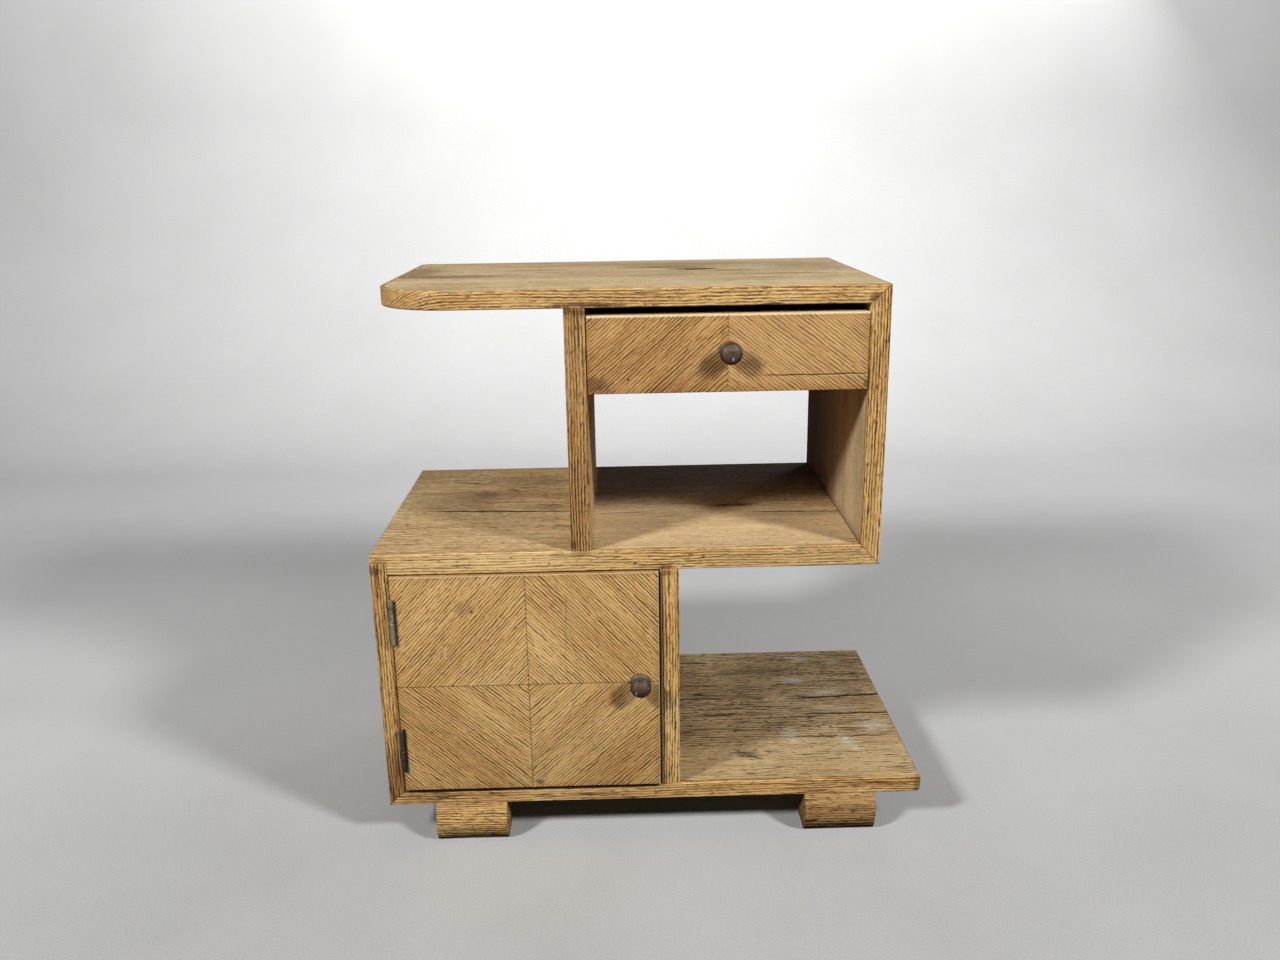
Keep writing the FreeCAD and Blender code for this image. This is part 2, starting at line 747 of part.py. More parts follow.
top_core, top_band = make_top()
parts["top_board"] = cut_all(top_core, [tongue_slots["top_right"]] + dowel_holes["top"])
parts["top_lipping"] = top_band
parts["right_side"] = cut_all(board(right_side_outline),
                              [tongue_slots["top_right"], tongue_slots["middle_right"]] + right_runner_holes)
parts["right_side_lipping"] = lipping(right_side_outline)
parts["upper_partition"] = cut_all(board(upper_partition_outline),
                                   dowel_holes["top"] + dowel_holes["middle_above"] + left_runner_holes)
parts["upper_partition_lipping"] = lipping(upper_partition_outline)
parts["middle_board"] = cut_all(board(middle_outline),
                                [tongue_slots["middle_right"], tongue_slots["middle_left"], strike_pocket(),
                                 strike_pocket_bore] + dowel_holes["middle_above"]
                                + dowel_holes["middle_below"] + strike_holes)
parts["middle_lipping"] = cut_all(lipping(middle_lipping_outline), [strike_pocket()] + strike_holes)
parts["left_side"] = cut_all(board(left_side_outline),
                             [tongue_slots["middle_left"], tongue_slots["bottom_left"], back_rebate_cut]
                             + frame_pockets + frame_screw_holes + back_pin_holes)
parts["left_side_lipping"] = cut_all(lipping(left_side_lipping_outline), frame_pockets)
parts["lower_partition"] = cut_all(board(lower_partition_outline),
                                   dowel_holes["middle_below"] + dowel_holes["bottom"]
                                   + [back_rebate_cut] + back_pin_holes)
parts["lower_partition_lipping"] = lipping(lower_partition_outline)
parts["bottom_board"] = cut_all(board(bottom_outline),
                                [tongue_slots["bottom_left"]] + dowel_holes["bottom"] + foot_screw_holes)
parts["bottom_lipping"] = lipping(bottom_outline)
parts["corner_tongues"] = Part.makeCompound([tongue(inner, outer, 0) for inner, outer in mitres.values()])
all_dowels = []
for joint in dowel_joints.values():
    all_dowels += partition_dowels(*joint, 0)
parts["partition_dowels"] = Part.makeCompound(all_dowels)
for name, (foot_x, foot_y) in foot_places.items():
    parts[name] = foot(foot_x, foot_y)
parts["foot_screws"] = Part.makeCompound(all_foot_screws)

# Back of the cupboard
back_panel = block(back_left_x, back_right_x, back_panel_y, back_y, bottom_top_z, middle_under_z)
parts["cupboard_back"] = cut_all(back_panel, back_pin_holes)
parts["back_pins"] = Part.makeCompound([pin.solid(place, Vector(0, 1, 0)) for place in back_pin_places()])

# Drawer space
parts["drawer_rear_rail"] = block(upper_partition_in_x, right_side_in_x, back_y - rail_thickness, back_y,
                                  runner_top_z, top_under_z)
left_runner = block(upper_partition_in_x, upper_partition_in_x + runner_width, runner_front_y, back_y,
                    runner_top_z - runner_height, runner_top_z)
right_runner = block(right_side_in_x - runner_width, right_side_in_x, runner_front_y, back_y,
                     runner_top_z - runner_height, runner_top_z)
parts["left_drawer_runner"] = cut_all(left_runner, left_runner_holes)
parts["right_drawer_runner"] = cut_all(right_runner, right_runner_holes)
parts["runner_screws"] = Part.makeCompound(
    [runner_screw.solid(*place) for place in runner_screw_places(True) + runner_screw_places(False)])

# Drawer
front_core = block(drawer_left_x, drawer_right_x, drawer_core_y, drawer_inner_y, drawer_low_z, drawer_top_z)
left_side_span = (drawer_left_x, drawer_left_x + drawer_side_thickness)
right_side_span = (drawer_right_x - drawer_side_thickness, drawer_right_x)
drawer_groove = drawer_bottom_panel(drawer_groove_gap)
drawer_pin_holes = [pin.hole(*place) for place in drawer_pin_places()]
drawer_knob_place = Vector(drawer_knob_x, drawer_face_y, drawer_knob_z)
drawer_screw_place = Vector(drawer_knob_x, drawer_inner_y, drawer_knob_z)
drawer_screw_hole = knob_screw.hole(drawer_screw_place, Vector(0, 1, 0))
parts["drawer_front"] = cut_all(front_core, dovetails(*left_side_span) + dovetails(*right_side_span)
                                + [drawer_groove, drawer_screw_hole])
for name, x0, x1 in (("drawer_veneer_left", drawer_left_x, drawer_mid_x),
                     ("drawer_veneer_right", drawer_mid_x, drawer_right_x)):
    leaf = block(x0, x1, drawer_face_y, drawer_core_y, drawer_low_z, drawer_top_z)
    parts[name] = leaf.cut(drawer_screw_hole)
for name, span in (("drawer_left_side", left_side_span), ("drawer_right_side", right_side_span)):
    side = block(*span, drawer_inner_y, drawer_end_y, drawer_side_low_z, drawer_side_top_z)
    for tail in dovetails(*span):
        side = side.fuse(tail)
    parts[name] = cut_all(side.removeSplitter(), [drawer_groove] + drawer_pin_holes)
parts["drawer_back"] = cut_all(
    block(left_side_span[1], right_side_span[0], drawer_end_y - drawer_back_thickness, drawer_end_y,
          drawer_panel_top_z, drawer_side_top_z - drawer_back_drop), drawer_pin_holes)
parts["drawer_bottom"] = drawer_bottom_panel(0)
parts["drawer_pins"] = Part.makeCompound([pin.solid(*place) for place in drawer_pin_places()])
parts["drawer_knob"] = knob(drawer_knob_place)
parts["drawer_knob_screw"] = knob_screw.solid(drawer_screw_place, Vector(0, 1, 0))

# Door
door_screws = []
door_cuts = []
for hinge_z in hinge_low_places.values():
    door_cuts += [door_leaf_pocket(hinge_z), door_leaf_wrap(hinge_z), door_barrel_notch(hinge_z)]
    for place in door_screw_places(hinge_z):
        door_screws.append(hinge_screw.solid(place, Vector(-1, 0, 0)))
        door_cuts.append(hinge_screw.hole(place, Vector(-1, 0, 0)))
door_knob_place = Vector(door_knob_x, door_face_y, door_mid_z)
door_screw_place = Vector(door_knob_x, door_inner_y, door_mid_z)
door_screw_hole = knob_screw.hole(door_screw_place, Vector(0, 1, 0))
catch_bore = catch_bar(catch_barrel_radius + glue_gap, door_top_z - catch_barrel_length - glue_gap,
                       door_top_z + overrun)
door_core = block(door_left_x, door_right_x, door_core_y, door_inner_y, door_low_z, door_top_z)
parts["door_panel"] = cut_all(door_core, door_cuts + [door_screw_hole, catch_bore])
for row, z0, z1 in (("lower", door_low_z, door_mid_z), ("upper", door_mid_z, door_top_z)):
    for side, x0, x1 in (("left", door_left_x, door_mid_x), ("right", door_mid_x, door_right_x)):
        leaf = block(x0, x1, door_face_y, door_core_y, z0, z1)
        parts["door_veneer_" + row + "_" + side] = cut_all(leaf, door_cuts + [door_screw_hole])
parts["door_knob"] = knob(door_knob_place)
parts["door_knob_screw"] = knob_screw.solid(door_screw_place, Vector(0, 1, 0))

# Hinges
for name, hinge_z in hinge_low_places.items():
    parts[name + "_hinge_frame_leaf"] = frame_leaf(hinge_z)
    parts[name + "_hinge_door_leaf"] = door_leaf(hinge_z)
    parts[name + "_hinge_pin"] = hinge_pin(hinge_z)
parts["hinge_frame_screws"] = Part.makeCompound(frame_screws)
parts["hinge_door_screws"] = Part.makeCompound(door_screws)

# Catch and stop
parts["catch_barrel"] = catch_barrel()
parts["catch_spring"] = catch_spring()
parts["catch_ball"] = Part.makeSphere(catch_ball_radius, Vector(catch_x, catch_y, ball_z))
parts["catch_strike"] = catch_strike()
parts["strike_screws"] = Part.makeCompound(
    [strike_screw.solid(place, Vector(0, 0, -1)) for place in strike_screw_places()])
parts["door_stop"] = block(stop_right_x - door_stop_width, stop_right_x, stop_y, stop_y + door_stop_depth,
                           middle_under_z - door_stop_height, middle_under_z)

os.makedirs("parts", exist_ok=True)
for name, shape in parts.items():
    shape.exportStep("parts/" + name + ".step")
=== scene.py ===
import math

import bmesh
import bpy
from mathutils import Matrix, Vector


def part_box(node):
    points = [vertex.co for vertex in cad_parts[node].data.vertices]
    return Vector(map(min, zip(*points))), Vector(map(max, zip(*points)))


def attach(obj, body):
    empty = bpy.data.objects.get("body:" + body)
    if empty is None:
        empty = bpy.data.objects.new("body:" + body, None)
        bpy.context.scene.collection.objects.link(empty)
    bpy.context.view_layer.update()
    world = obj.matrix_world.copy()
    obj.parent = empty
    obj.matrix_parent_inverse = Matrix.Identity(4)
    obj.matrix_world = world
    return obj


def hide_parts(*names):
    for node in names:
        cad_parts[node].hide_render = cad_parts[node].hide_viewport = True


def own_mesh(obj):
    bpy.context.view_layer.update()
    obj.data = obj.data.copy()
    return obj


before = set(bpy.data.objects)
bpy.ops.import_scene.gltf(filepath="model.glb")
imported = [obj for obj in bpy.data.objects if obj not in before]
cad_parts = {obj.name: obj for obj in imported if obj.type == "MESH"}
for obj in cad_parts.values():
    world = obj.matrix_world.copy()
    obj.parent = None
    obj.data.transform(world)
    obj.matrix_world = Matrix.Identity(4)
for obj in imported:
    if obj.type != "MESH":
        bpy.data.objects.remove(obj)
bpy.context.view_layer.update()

# The dressed cabinet. Places come from the solids' own boxes. Lengths are in metres: MM turns millimetres
# into them. Rows of marks on a surface are in millimetres, as their functions say.

MM = 0.001
UP = Vector((0, 0, 1))
QUARTER = math.radians(90)

# Places nearer to each other than TOUCH count as one. FINE is how exact a cut is.
TOUCH = 0.01 * MM
FINE = 0.0001 * MM

# The radii that arrises are worn to
SOFT, FIRM, EASED, BOLD = 0.9 * MM, 0.5 * MM, 1.2 * MM, 1.5 * MM
SHELF_TOP_EDGE, SHELF_CORNER = 1.6 * MM, 6.5 * MM


def box(node):
    """The lowest and highest corner of one of the solids."""
    low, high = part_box(node)
    return Vector(low), Vector(high)


FRONT_Y = box("middle_lipping")[0].y
BAND_Y, BACK_Y = (corner.y for corner in box("middle_board"))
LEFT_X, LEFT_IN_X = (corner.x for corner in box("left_side"))
RIGHT_IN_X = box("drawer_rear_rail")[1].x
RIGHT_OUT_X = box("right_side")[1].x
SHELF_END_X = box("bottom_board")[1].x
TOP_LEFT_X = box("top_lipping")[0].x
TOP_UNDER_Z, TOP_OVER_Z = (corner.z for corner in box("top_board"))
BOTTOM_TOP_Z, MIDDLE_UNDER_Z = (corner.z for corner in box("lower_partition"))
MIDDLE_TOP_Z = box("upper_partition")[0].z
BOTTOM_UNDER_Z = box("bottom_board")[0].z
LAP_Z = box("left_side_lipping")[1].z
DOOR_SEAM_X = box("door_veneer_upper_left")[1].x
DOOR_SEAM_Z = box("door_veneer_upper_left")[0].z
DRAWER_SEAM_X = box("drawer_veneer_left")[1].x

# The mitred corners, each as its inner and outer (x, z) corner
MITRES = {
    "top_right": ((RIGHT_IN_X, TOP_UNDER_Z), (RIGHT_OUT_X, TOP_OVER_Z)),
    "middle_right": ((RIGHT_IN_X, MIDDLE_TOP_Z), (RIGHT_OUT_X, MIDDLE_UNDER_Z)),
    "middle_left": ((LEFT_IN_X, MIDDLE_UNDER_Z), (LEFT_X, MIDDLE_TOP_Z)),
    "bottom_left": ((LEFT_IN_X, BOTTOM_TOP_Z), (LEFT_X, BOTTOM_UNDER_Z)),
}
HINGES = ("lower_hinge", "upper_hinge")


def hinge_axis(hinge):
    """The x and y of a hinge's pin."""
    low, high = box(hinge + "_pin")
    return (low.x + high.x) / 2, (low.y + high.y) / 2


# Shaping


def level(place, *values):
    """Whether all the values lie at a place."""
    return all(abs(value - place) < TOUCH for value in values)


def along(axis, share=0.99):
    """A test for edges that run along an axis."""
    return lambda a, b: abs((b - a).normalized()[axis]) > share


def activate(piece):
    """Only this piece is selected and active."""
    bpy.ops.object.select_all(action="DESELECT")
    piece.select_set(True)
    bpy.context.view_layer.objects.active = piece


class Shaping:
    """A piece in edit mode, whose points, edges and faces are chosen by their place."""

    def __init__(self, piece):
        self.piece = piece

    def __enter__(self):
        activate(self.piece)
        bpy.ops.object.mode_set(mode="EDIT")
        return self

    def __exit__(self, *failure):
        bpy.ops.object.mode_set(mode="OBJECT")

    def choose(self, kind, test):
        bpy.ops.mesh.select_mode(type=kind)
        bpy.ops.mesh.select_all(action="DESELECT")
        shape = bmesh.from_edit_mesh(self.piece.data)
        for element in {"VERT": shape.verts, "EDGE": shape.edges, "FACE": shape.faces}[kind]:
            element.select_set(test(element))
        shape.select_flush_mode()
        bmesh.update_edit_mesh(self.piece.data)

    def points(self, test):
        self.choose("VERT", lambda point: test(point.co))

    def edges(self, test):
        self.choose("EDGE", lambda edge: test(edge.verts[0].co, edge.verts[1].co))

    def faces(self, test):
        self.choose("FACE", lambda face: test(face.calc_center_median(), face.normal))

    def everything(self):
        bpy.ops.mesh.select_all(action="SELECT")

    def divide(self, cuts, test):
        """Divides the edges that a test picks."""
        self.edges(test)
        bpy.ops.mesh.subdivide(number_cuts=cuts)

    def bevel(self, radius, segments, test):
        """Rounds the edges that a test picks."""
        self.edges(test)
        bpy.ops.mesh.bevel(offset=radius, segments=segments, affect="EDGES")

    def slice(self, place, normal, **cut):
        self.everything()
        bpy.ops.mesh.bisect(plane_co=place, plane_no=normal, threshold=FINE, **cut)

    def extrude(self, *move):
        bpy.ops.mesh.extrude_region_move(TRANSFORM_OT_translate={"value": move})

    def mend(self):
        """Merges doubled points and turns all faces outwards."""
        self.everything()
        bpy.ops.mesh.remove_doubles(threshold=TOUCH)
        bpy.ops.mesh.normals_make_consistent(inside=False)


def start(name, operator, **settings):
    """A new primitive, made with nothing else selected."""
    bpy.ops.object.select_all(action="DESELECT")
    operator(**settings)
    return name_piece(name)


def name_piece(name):
    piece = bpy.context.object
    piece.name = piece.data.name = name
    return piece


def settle(piece):
    """Puts the object at the origin, with its place in its mesh."""
    activate(piece)
    bpy.ops.object.transform_apply(location=True, rotation=True, scale=True)
    return piece


def start_block(name, low, high):
    """A block between two corners."""
    low, high = Vector(low), Vector(high)
    piece = start(name, bpy.ops.mesh.primitive_cube_add, size=1, location=(low + high) / 2)
    piece.scale = high - low
    return settle(piece)


def start_bar(name, radius, first, last, sides=48):
    """A round bar between two points."""
    first, last = Vector(first), Vector(last)
    return settle(start(name, bpy.ops.mesh.primitive_cylinder_add, vertices=sides, radius=radius,
                        depth=(last - first).length, location=(first + last) / 2,
                        rotation=(last - first).to_track_quat("Z", "Y").to_euler()))


def apply_all(piece):
    activate(piece)
    for modifier in list(piece.modifiers):
        bpy.ops.object.modifier_apply(modifier=modifier.name)


def carve(piece, tool, operation="DIFFERENCE", keep_tool=False):
    """Takes a tool's shape out of a piece, or keeps only what lies in it."""
    cut = piece.modifiers.new("cut", "BOOLEAN")
    cut.operation = operation
    cut.solver = "MANIFOLD"
    cut.object = tool
    apply_all(piece)
    if not keep_tool:
        activate(tool)
        bpy.ops.object.delete()


SIDES = {"left": (0, 0), "right": (0, 1), "front": (1, 0), "back": (1, 1), "bottom": (2, 0), "top": (2, 1)}


def on_arris(corners, words):
    """A test for edges on the line where two sides of a box meet, such as "front top"."""
    planes = [SIDES[word] for word in words.split()]
    return lambda a, b: all(level(corners[end][axis], a[axis], b[axis]) for axis, end in planes)


def wear(piece, test, depth, cell):
    """Moves the chosen points inwards by up to a depth, unevenly."""
    group = piece.vertex_groups.new(name="worn")
    group.add([point.index for point in piece.data.vertices if test(point.co)], 1.0, "REPLACE")
    cloud = bpy.data.textures.new("wear", "CLOUDS")
    cloud.noise_scale = cell
    cloud.noise_depth = 3
    cloud.contrast = 1.6
    rub = piece.modifiers.new("wear", "DISPLACE")
    rub.texture = cloud
    rub.texture_coords = "LOCAL"
    rub.vertex_group = group.name
    rub.mid_level = 1.0
    rub.strength = depth
    apply_all(piece)


def mitre(work, corner, keep):
    """Cuts square to the front along a mitre, and keeps the side of a point."""
    inner, outer = (Vector((x, 0, z)) for x, z in MITRES[corner])
    across = (outer - inner).cross(Vector((0, 1, 0))).normalized()
    if (Vector(keep) - inner).dot(across) > 0:
        across = -across
    work.slice(inner, across, use_fill=True, clear_outer=True)


def polish(piece):
    """Smooth shading over rounded arrises, with flat faces kept flat."""
    sharpest_smooth = math.radians(38.0)
    activate(piece)
    bpy.ops.object.shade_smooth_by_angle(angle=sharpest_smooth)
    flat = piece.modifiers.new("flat faces", "WEIGHTED_NORMAL")
    flat.keep_sharp = True
    flat.weight = 100
    apply_all(piece)


def shape_board(node, arrises, mitres=(), step=8 * MM, depth=0.45 * MM):
    """A board: arrises maps the lines where its sides meet to the radius that they are worn to."""
    low, high = corners = box(node)
    piece = start_block("worn_" + node, low, high)
    with Shaping(piece) as work:
        for axis in range(3):
            cuts = int((high[axis] - low[axis]) / step)
            if cuts > 1:
                work.divide(cuts, along(axis))
        for radius in sorted(set(arrises.values()), reverse=True):
            tests = [on_arris(corners, words) for words, worn in arrises.items() if worn == radius]
            work.bevel(radius, 3, lambda a, b: any(test(a, b) for test in tests))
    wear(piece, lambda co: all(min(co[i] - low[i], high[i] - co[i]) > TOUCH for i in range(3)), depth, 9 * MM)
    with Shaping(piece) as work:
        for corner in mitres:
            mitre(work, corner, (low + high) / 2)
    return piece


def dress(piece, finish, nodes, body="carcass"):
    """Gives a piece its finish and its body, and lets it stand for its solids."""
    polish(piece)
    piece.data.materials.clear()
    piece.data.materials.append(finish)
    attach(piece, body)
    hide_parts(*nodes)
    return piece


# Finishes


class Value:
    """A number that varies over a surface. Sums and products of values become Math nodes."""

    def __init__(self, finish, socket):
        self.finish = finish
        self.socket = socket

    def __add__(self, other):
        return self.finish.maths("ADD", self, other)

    def __sub__(self, other):
        return self.finish.maths("SUBTRACT", self, other)

    def __rsub__(self, other):
        return self.finish.maths("SUBTRACT", other, self)

    def __mul__(self, other):
        return self.finish.maths("MULTIPLY", self, other)

    def __abs__(self):
        return self.finish.maths("ABSOLUTE", self)

    __radd__, __rmul__ = __add__, __mul__


class Finish:
    """A material that is being mixed, with the surface's own x, y and z at hand."""

    def __init__(self, name):
        self.material = bpy.data.materials.new(name)
        self.material.use_nodes = True
        self.tree = self.material.node_tree
        self.shader = self.tree.nodes["Principled BSDF"]
        self.place = self.add("ShaderNodeTexCoord", output="Object")
        self.x, self.y, self.z = self.split(self.place)
        self.ragged = None

    def add(self, kind, settings=None, inputs=None, output=0):
        """A node with its settings, and numbers, colours or links for its sockets."""
        node = self.tree.nodes.new(kind)
        for name, value in (settings or {}).items():
            if name == "stops":
                self.set_stops(node.color_ramp, value)
            else:
                setattr(node, name, value)
        for key, value in (inputs or {}).items():
            if isinstance(value, Value):
                self.tree.links.new(value.socket, node.inputs[key])
            else:
                node.inputs[key].default_value = value
        return Value(self, node.outputs[output])

    def set_stops(self, ramp, stops):
        while len(ramp.elements) < len(stops):
            ramp.elements.new(1.0)
        for element, (position, colour) in zip(ramp.elements, stops):
            element.position = position
            element.color = (*colour, 1.0)

    def maths(self, operation, *values):
        return self.add("ShaderNodeMath", {"operation": operation}, dict(enumerate(values)))

    def least(self, first, second):
        return self.maths("MINIMUM", first, second)

    def split(self, vector):
        node = self.add("ShaderNodeSeparateXYZ", None, {0: vector}).socket.node
        return [Value(self, node.outputs[axis]) for axis in range(3)]

    def join(self, x, y, z):
        return self.add("ShaderNodeCombineXYZ", None, {0: x, 1: y, 2: z})

    def shift(self, place, offset):
        return self.add("ShaderNodeVectorMath", {"operation": "ADD"}, {0: place, 1: offset})

    def noise(self, cells, detail=3.0, roughness=0.55, place=None):
        """Noise about 0.5, with so many cells per metre in all, or along each axis."""
        cells = cells if isinstance(cells, tuple) else (cells, cells, cells)
        stretched = self.add("ShaderNodeVectorMath", {"operation": "MULTIPLY"},
                             {0: place or self.place, 1: cells})
        return self.add("ShaderNodeTexNoise", None, {
            "Vector": stretched, "Scale": 1.0, "Detail": detail, "Roughness": roughness})

    def rise(self, value, low, high, first=0.0, last=1.0):
        """Goes smoothly from first to last while value goes from low to high."""
        return self.add("ShaderNodeMapRange", {"interpolation_type": "SMOOTHSTEP"}, {
            "Value": value, "From Min": low, "From Max": high, "To Min": first, "To Max": last})

    def fall(self, value, low, high):
        return self.rise(value, low, high, 1.0, 0.0)

    def beyond(self, value, low, high, ragged=0.0):
        """From 0 to 1 between two places in mm. The rim is ragged by so many mm."""
        return self.rise(value + self.rag() * (ragged * MM) if ragged else value, low * MM, high * MM)

    def within(self, value, low, high, ragged=0.0):
        """From 1 to 0 between two places in mm. The rim is ragged by so many mm."""
        return self.fall(value + self.rag() * (ragged * MM) if ragged else value, low * MM, high * MM)

    def mix(self, share, first, second, blend="MIX"):
        """Colours mixed by a share of the second."""
        return self.add("ShaderNodeMix", {"data_type": "RGBA", "blend_type": blend}, {
            0: share, 6: first if isinstance(first, Value) else (*first, 1.0),
            7: second if isinstance(second, Value) else (*second, 1.0)}, output=2)

    def ramp(self, value, stops):
        return self.add("ShaderNodeValToRGB", {"stops": stops}, {0: value})

    def rag(self):
        """Fine noise about zero that breaks up the rims of marks."""
        if self.ragged is None:
            self.ragged = self.noise(150.0, 4.0, 0.65) - 0.5
        return self.ragged

    def close(self, colour, roughness, height, relief, depth, **constants):
        """Links colour, roughness and relief to the shader and gives the material."""
        self.tree.links.new(colour.socket, self.shader.inputs["Base Color"])
        self.tree.links.new(roughness.socket, self.shader.inputs["Roughness"])
        bump = self.add("ShaderNodeBump", None, {"Strength": relief, "Distance": depth, "Height": height})
        self.tree.links.new(bump.socket, self.shader.inputs["Normal"])
        for name, value in constants.items():
            self.shader.inputs[name.replace("_", " ")].default_value = value
        return self.material


def linear(red, green, blue):
    """A colour read off a screen, from 0 to 255, as light."""
    shares = [channel / 255 for channel in (red, green, blue)]
    return tuple(s / 12.92 if s <= 0.04045 else ((s + 0.055) / 1.055) ** 2.4 for s in shares)


DIRT = linear(40, 26, 16)
REDDISH = linear(96, 54, 30)


class Wood(Finish):
    """Timber with open pores in rows along its grain, to which stains, splits and wear are added.

    turn is the angle of the grain about Y: 0 along X, 90 along Z. swing turns it about Z: 90 is along Y.
    pitch is the spacing of the rows in mm, and broad_rows is how much of it a row fills. run is how many
    times per metre a row starts or stops. lines and pores are how dark the rows and the pores are, wander
    is how far the grain bends in mm, mottle is how much its tone varies, and fine is how narrow its figure
    is.
    """

    def __init__(self, name, tones, turn=0.0, seed=0.0, pitch=2.6, lines=0.6, pores=0.5, run=30.0,
                 wander=4.0, mottle=0.6, fine=1.0, swing=0.0, broad_rows=0.42):
        super().__init__(name)
        deep, dark, middle, light = tones
        turned = self.add("ShaderNodeMapping", None, {
            "Vector": self.place, "Rotation": (0.0, math.radians(turn), math.radians(swing))})
        turned = self.shift(turned, (seed * 0.37, seed * 0.83, seed * 0.61))
        slow = self.noise((2.5, 8.0, 8.0), 2.0, place=turned) - 0.5
        quick = self.noise((20.0, 50.0, 50.0), 2.0, place=turned) - 0.5
        bend = slow * (wander * 2 * MM) + quick * (wander * 0.3 * MM)
        self.grain = self.shift(turned, self.join(0.0, bend, bend))
        lengthwise, aside, over = self.split(self.grain)
        drift = self.figure(4.0, 45.0, 2.0) - 0.5
        wobble = self.figure(90.0, 280.0 * fine) - 0.5
        count = (aside * 0.7 + over * 0.95) * (1 / (pitch * MM)) + drift * 2.2 + wobble * 0.8
        row = self.maths("FLOOR", count)
        gap = abs(count - row - 0.5) * 2.0
        dash = self.noise(1.0, 4.0, 0.65, self.join(lengthwise * run, row * 5.3, seed))
        spell = self.noise(1.0, 2.0, place=self.join(lengthwise * (run * 0.2), row * 3.7, seed + 9.0))
        force = self.rise(dash, 0.34, 0.58, 0.2, 1.0) * self.rise(spell, 0.32, 0.62, 0.45, 1.0)
        rows = self.fall(gap - force * 0.2, 0.0, broad_rows) * force
        ridges = self.rise(gap, 0.4, 0.9) * self.rise(dash, 0.40, 0.6, 0.25, 1.0)
        open_pores = self.rise(self.figure(130.0, 560.0 * fine, 3.0, 0.6), 0.57, 0.68)
        broad = self.figure(1.8, 26.0 * fine)
        streak = self.figure(9.0, 200.0 * fine, 4.0, 0.6)
        fibre = self.figure(110.0, 900.0 * fine, 3.0, 0.65)
        cloud = self.noise(11.0)
        tone = 0.5 + ((broad - 0.5) * 0.6 + (streak - 0.5) * 0.6 + (fibre - 0.5) * 0.9
                      + (cloud - 0.5) * 0.5) * (mottle * 1.6)
        self.colour = self.ramp(tone, [(0.2, dark), (0.5, middle), (0.8, light)])
        self.colour = self.mix(ridges * (lines * 0.7), self.colour, light)
        self.colour = self.mix(rows * lines, self.colour, deep)
        self.colour = self.mix(open_pores * pores, self.colour, deep)
        self.roughness = 0.62 + (fibre - 0.5) * 0.25 + rows * 0.12
        self.height = (fibre * 0.35 + streak * 0.2 + ridges * (0.2 * lines) - rows * lines
                       - open_pores * (0.6 * pores))

    def figure(self, lengthwise, across, detail=3.0, roughness=0.55):
        """Noise that is drawn out along the grain, in cells per metre along and across it."""
        return self.noise((lengthwise, across, across), detail, roughness, self.grain)

    def stain(self, mask, colour, strength=1.0, blend="MIX"):
        self.colour = self.mix(mask * strength, self.colour, colour, blend)
        return self

    def shade(self, mask, factor, strength=1.0):
        """Darkens or lightens by a factor on each channel."""
        return self.stain(mask, factor, strength, "MULTIPLY")

    def split_open(self, mask, strength):
        """A dark split in the surface."""
        self.stain(mask, DIRT, strength)
        self.height = self.height - mask * 2.0
        return self

    def checks(self, amount, lengthwise, across, low, high, where=1.0):
        """Short splits here and there along the grain."""
        splits = self.rise(self.figure(lengthwise, across, 3.0, 0.6), low, high)
        return self.split_open(splits * where, amount)

    def line(self, u, v, first, last, width=0.7, wobble=1.0):
        """A thin, wandering line between two (u, v) points in mm, fading at its ends."""
        slope = (last[1] - first[1]) / (last[0] - first[0])
        drift = self.noise(60.0) - 0.5
        offset = v - (u - first[0] * MM) * slope - first[1] * MM + drift * (wobble * 6 * MM)
        low, high = min(first[0], last[0]), max(first[0], last[0])
        inner, outer = (high - low) * 0.2, (high - low) * 0.02
        inside = self.beyond(u, low - outer, low + inner) * self.within(u, high - inner, high + outer)
        return self.within(abs(offset), width * 0.3, width, 0.5) * inside

    def spread(self, u, v, centre, reach):
        """The distance from a centre, as a share of the reach along u and v. Both are in mm."""
        du, dv = ((value - middle * MM) * (1 / (far * MM))
                  for value, middle, far in zip((u, v), centre, reach))
        return self.maths("SQRT", du * du + dv * dv)

    def blot(self, u, v, centre, reach, ragged=0.5):
        """A blot about a centre, with a ragged rim. Centre and reach are in mm."""
        return self.fall(self.spread(u, v, centre, reach) + self.rag() * (ragged * 2), 0.3, 1.0)

    def smudges(self, u, v, where, colour, rows):
        """Soft, streaky smears, each as u, v, its reach along both in mm, and its strength."""
        for *row, strength in rows:
            soft = self.fall(self.spread(u, v, row[:2], row[2:]) + self.rag() * 0.9, 0.0, 1.1)
            streaks = self.rise(self.noise((70.0, 260.0, 70.0), 4.0, 0.65), 0.42, 0.60, 0.25, 1.0)
            self.stain(soft * streaks * where, colour, strength)

    def blots(self, u, v, where, colour, rows, ragged=0.7):
        """Stains, each as u, v, its reach along both in mm, and its strength."""
        for *row, strength in rows:
            self.stain(self.blot(u, v, row[:2], row[2:], ragged) * where, colour, strength)

    def cracks(self, u, v, where, rows, wobble=1.0):
        """Open cracks, each as u, v, its end's u, v and its width in mm, and its strength."""
        for *row, width, strength in rows:
            self.split_open(self.line(u, v, row[:2], row[2:], width, wobble) * where, strength)

    def grime(self, strength, rows, colour=REDDISH):
        """Dirt round joints on the front, each as x, z and its reach along both in mm."""
        self.blots(self.x, self.z, 1.0, colour, [(*row, strength) for row in rows], 0.8)

    def upper_face(self, z):
        """1 on the face at the top of a board."""
        return self.rise(self.z, z - 2 * MM, z - 1 * MM)

    def inset(self, low, high):
        """How far a place on the front lies inside the nearest edge of a box."""
        aside = self.least(self.x - low.x, high.x - self.x)
        return self.least(aside, self.least(self.z - low.z, high.z - self.z))

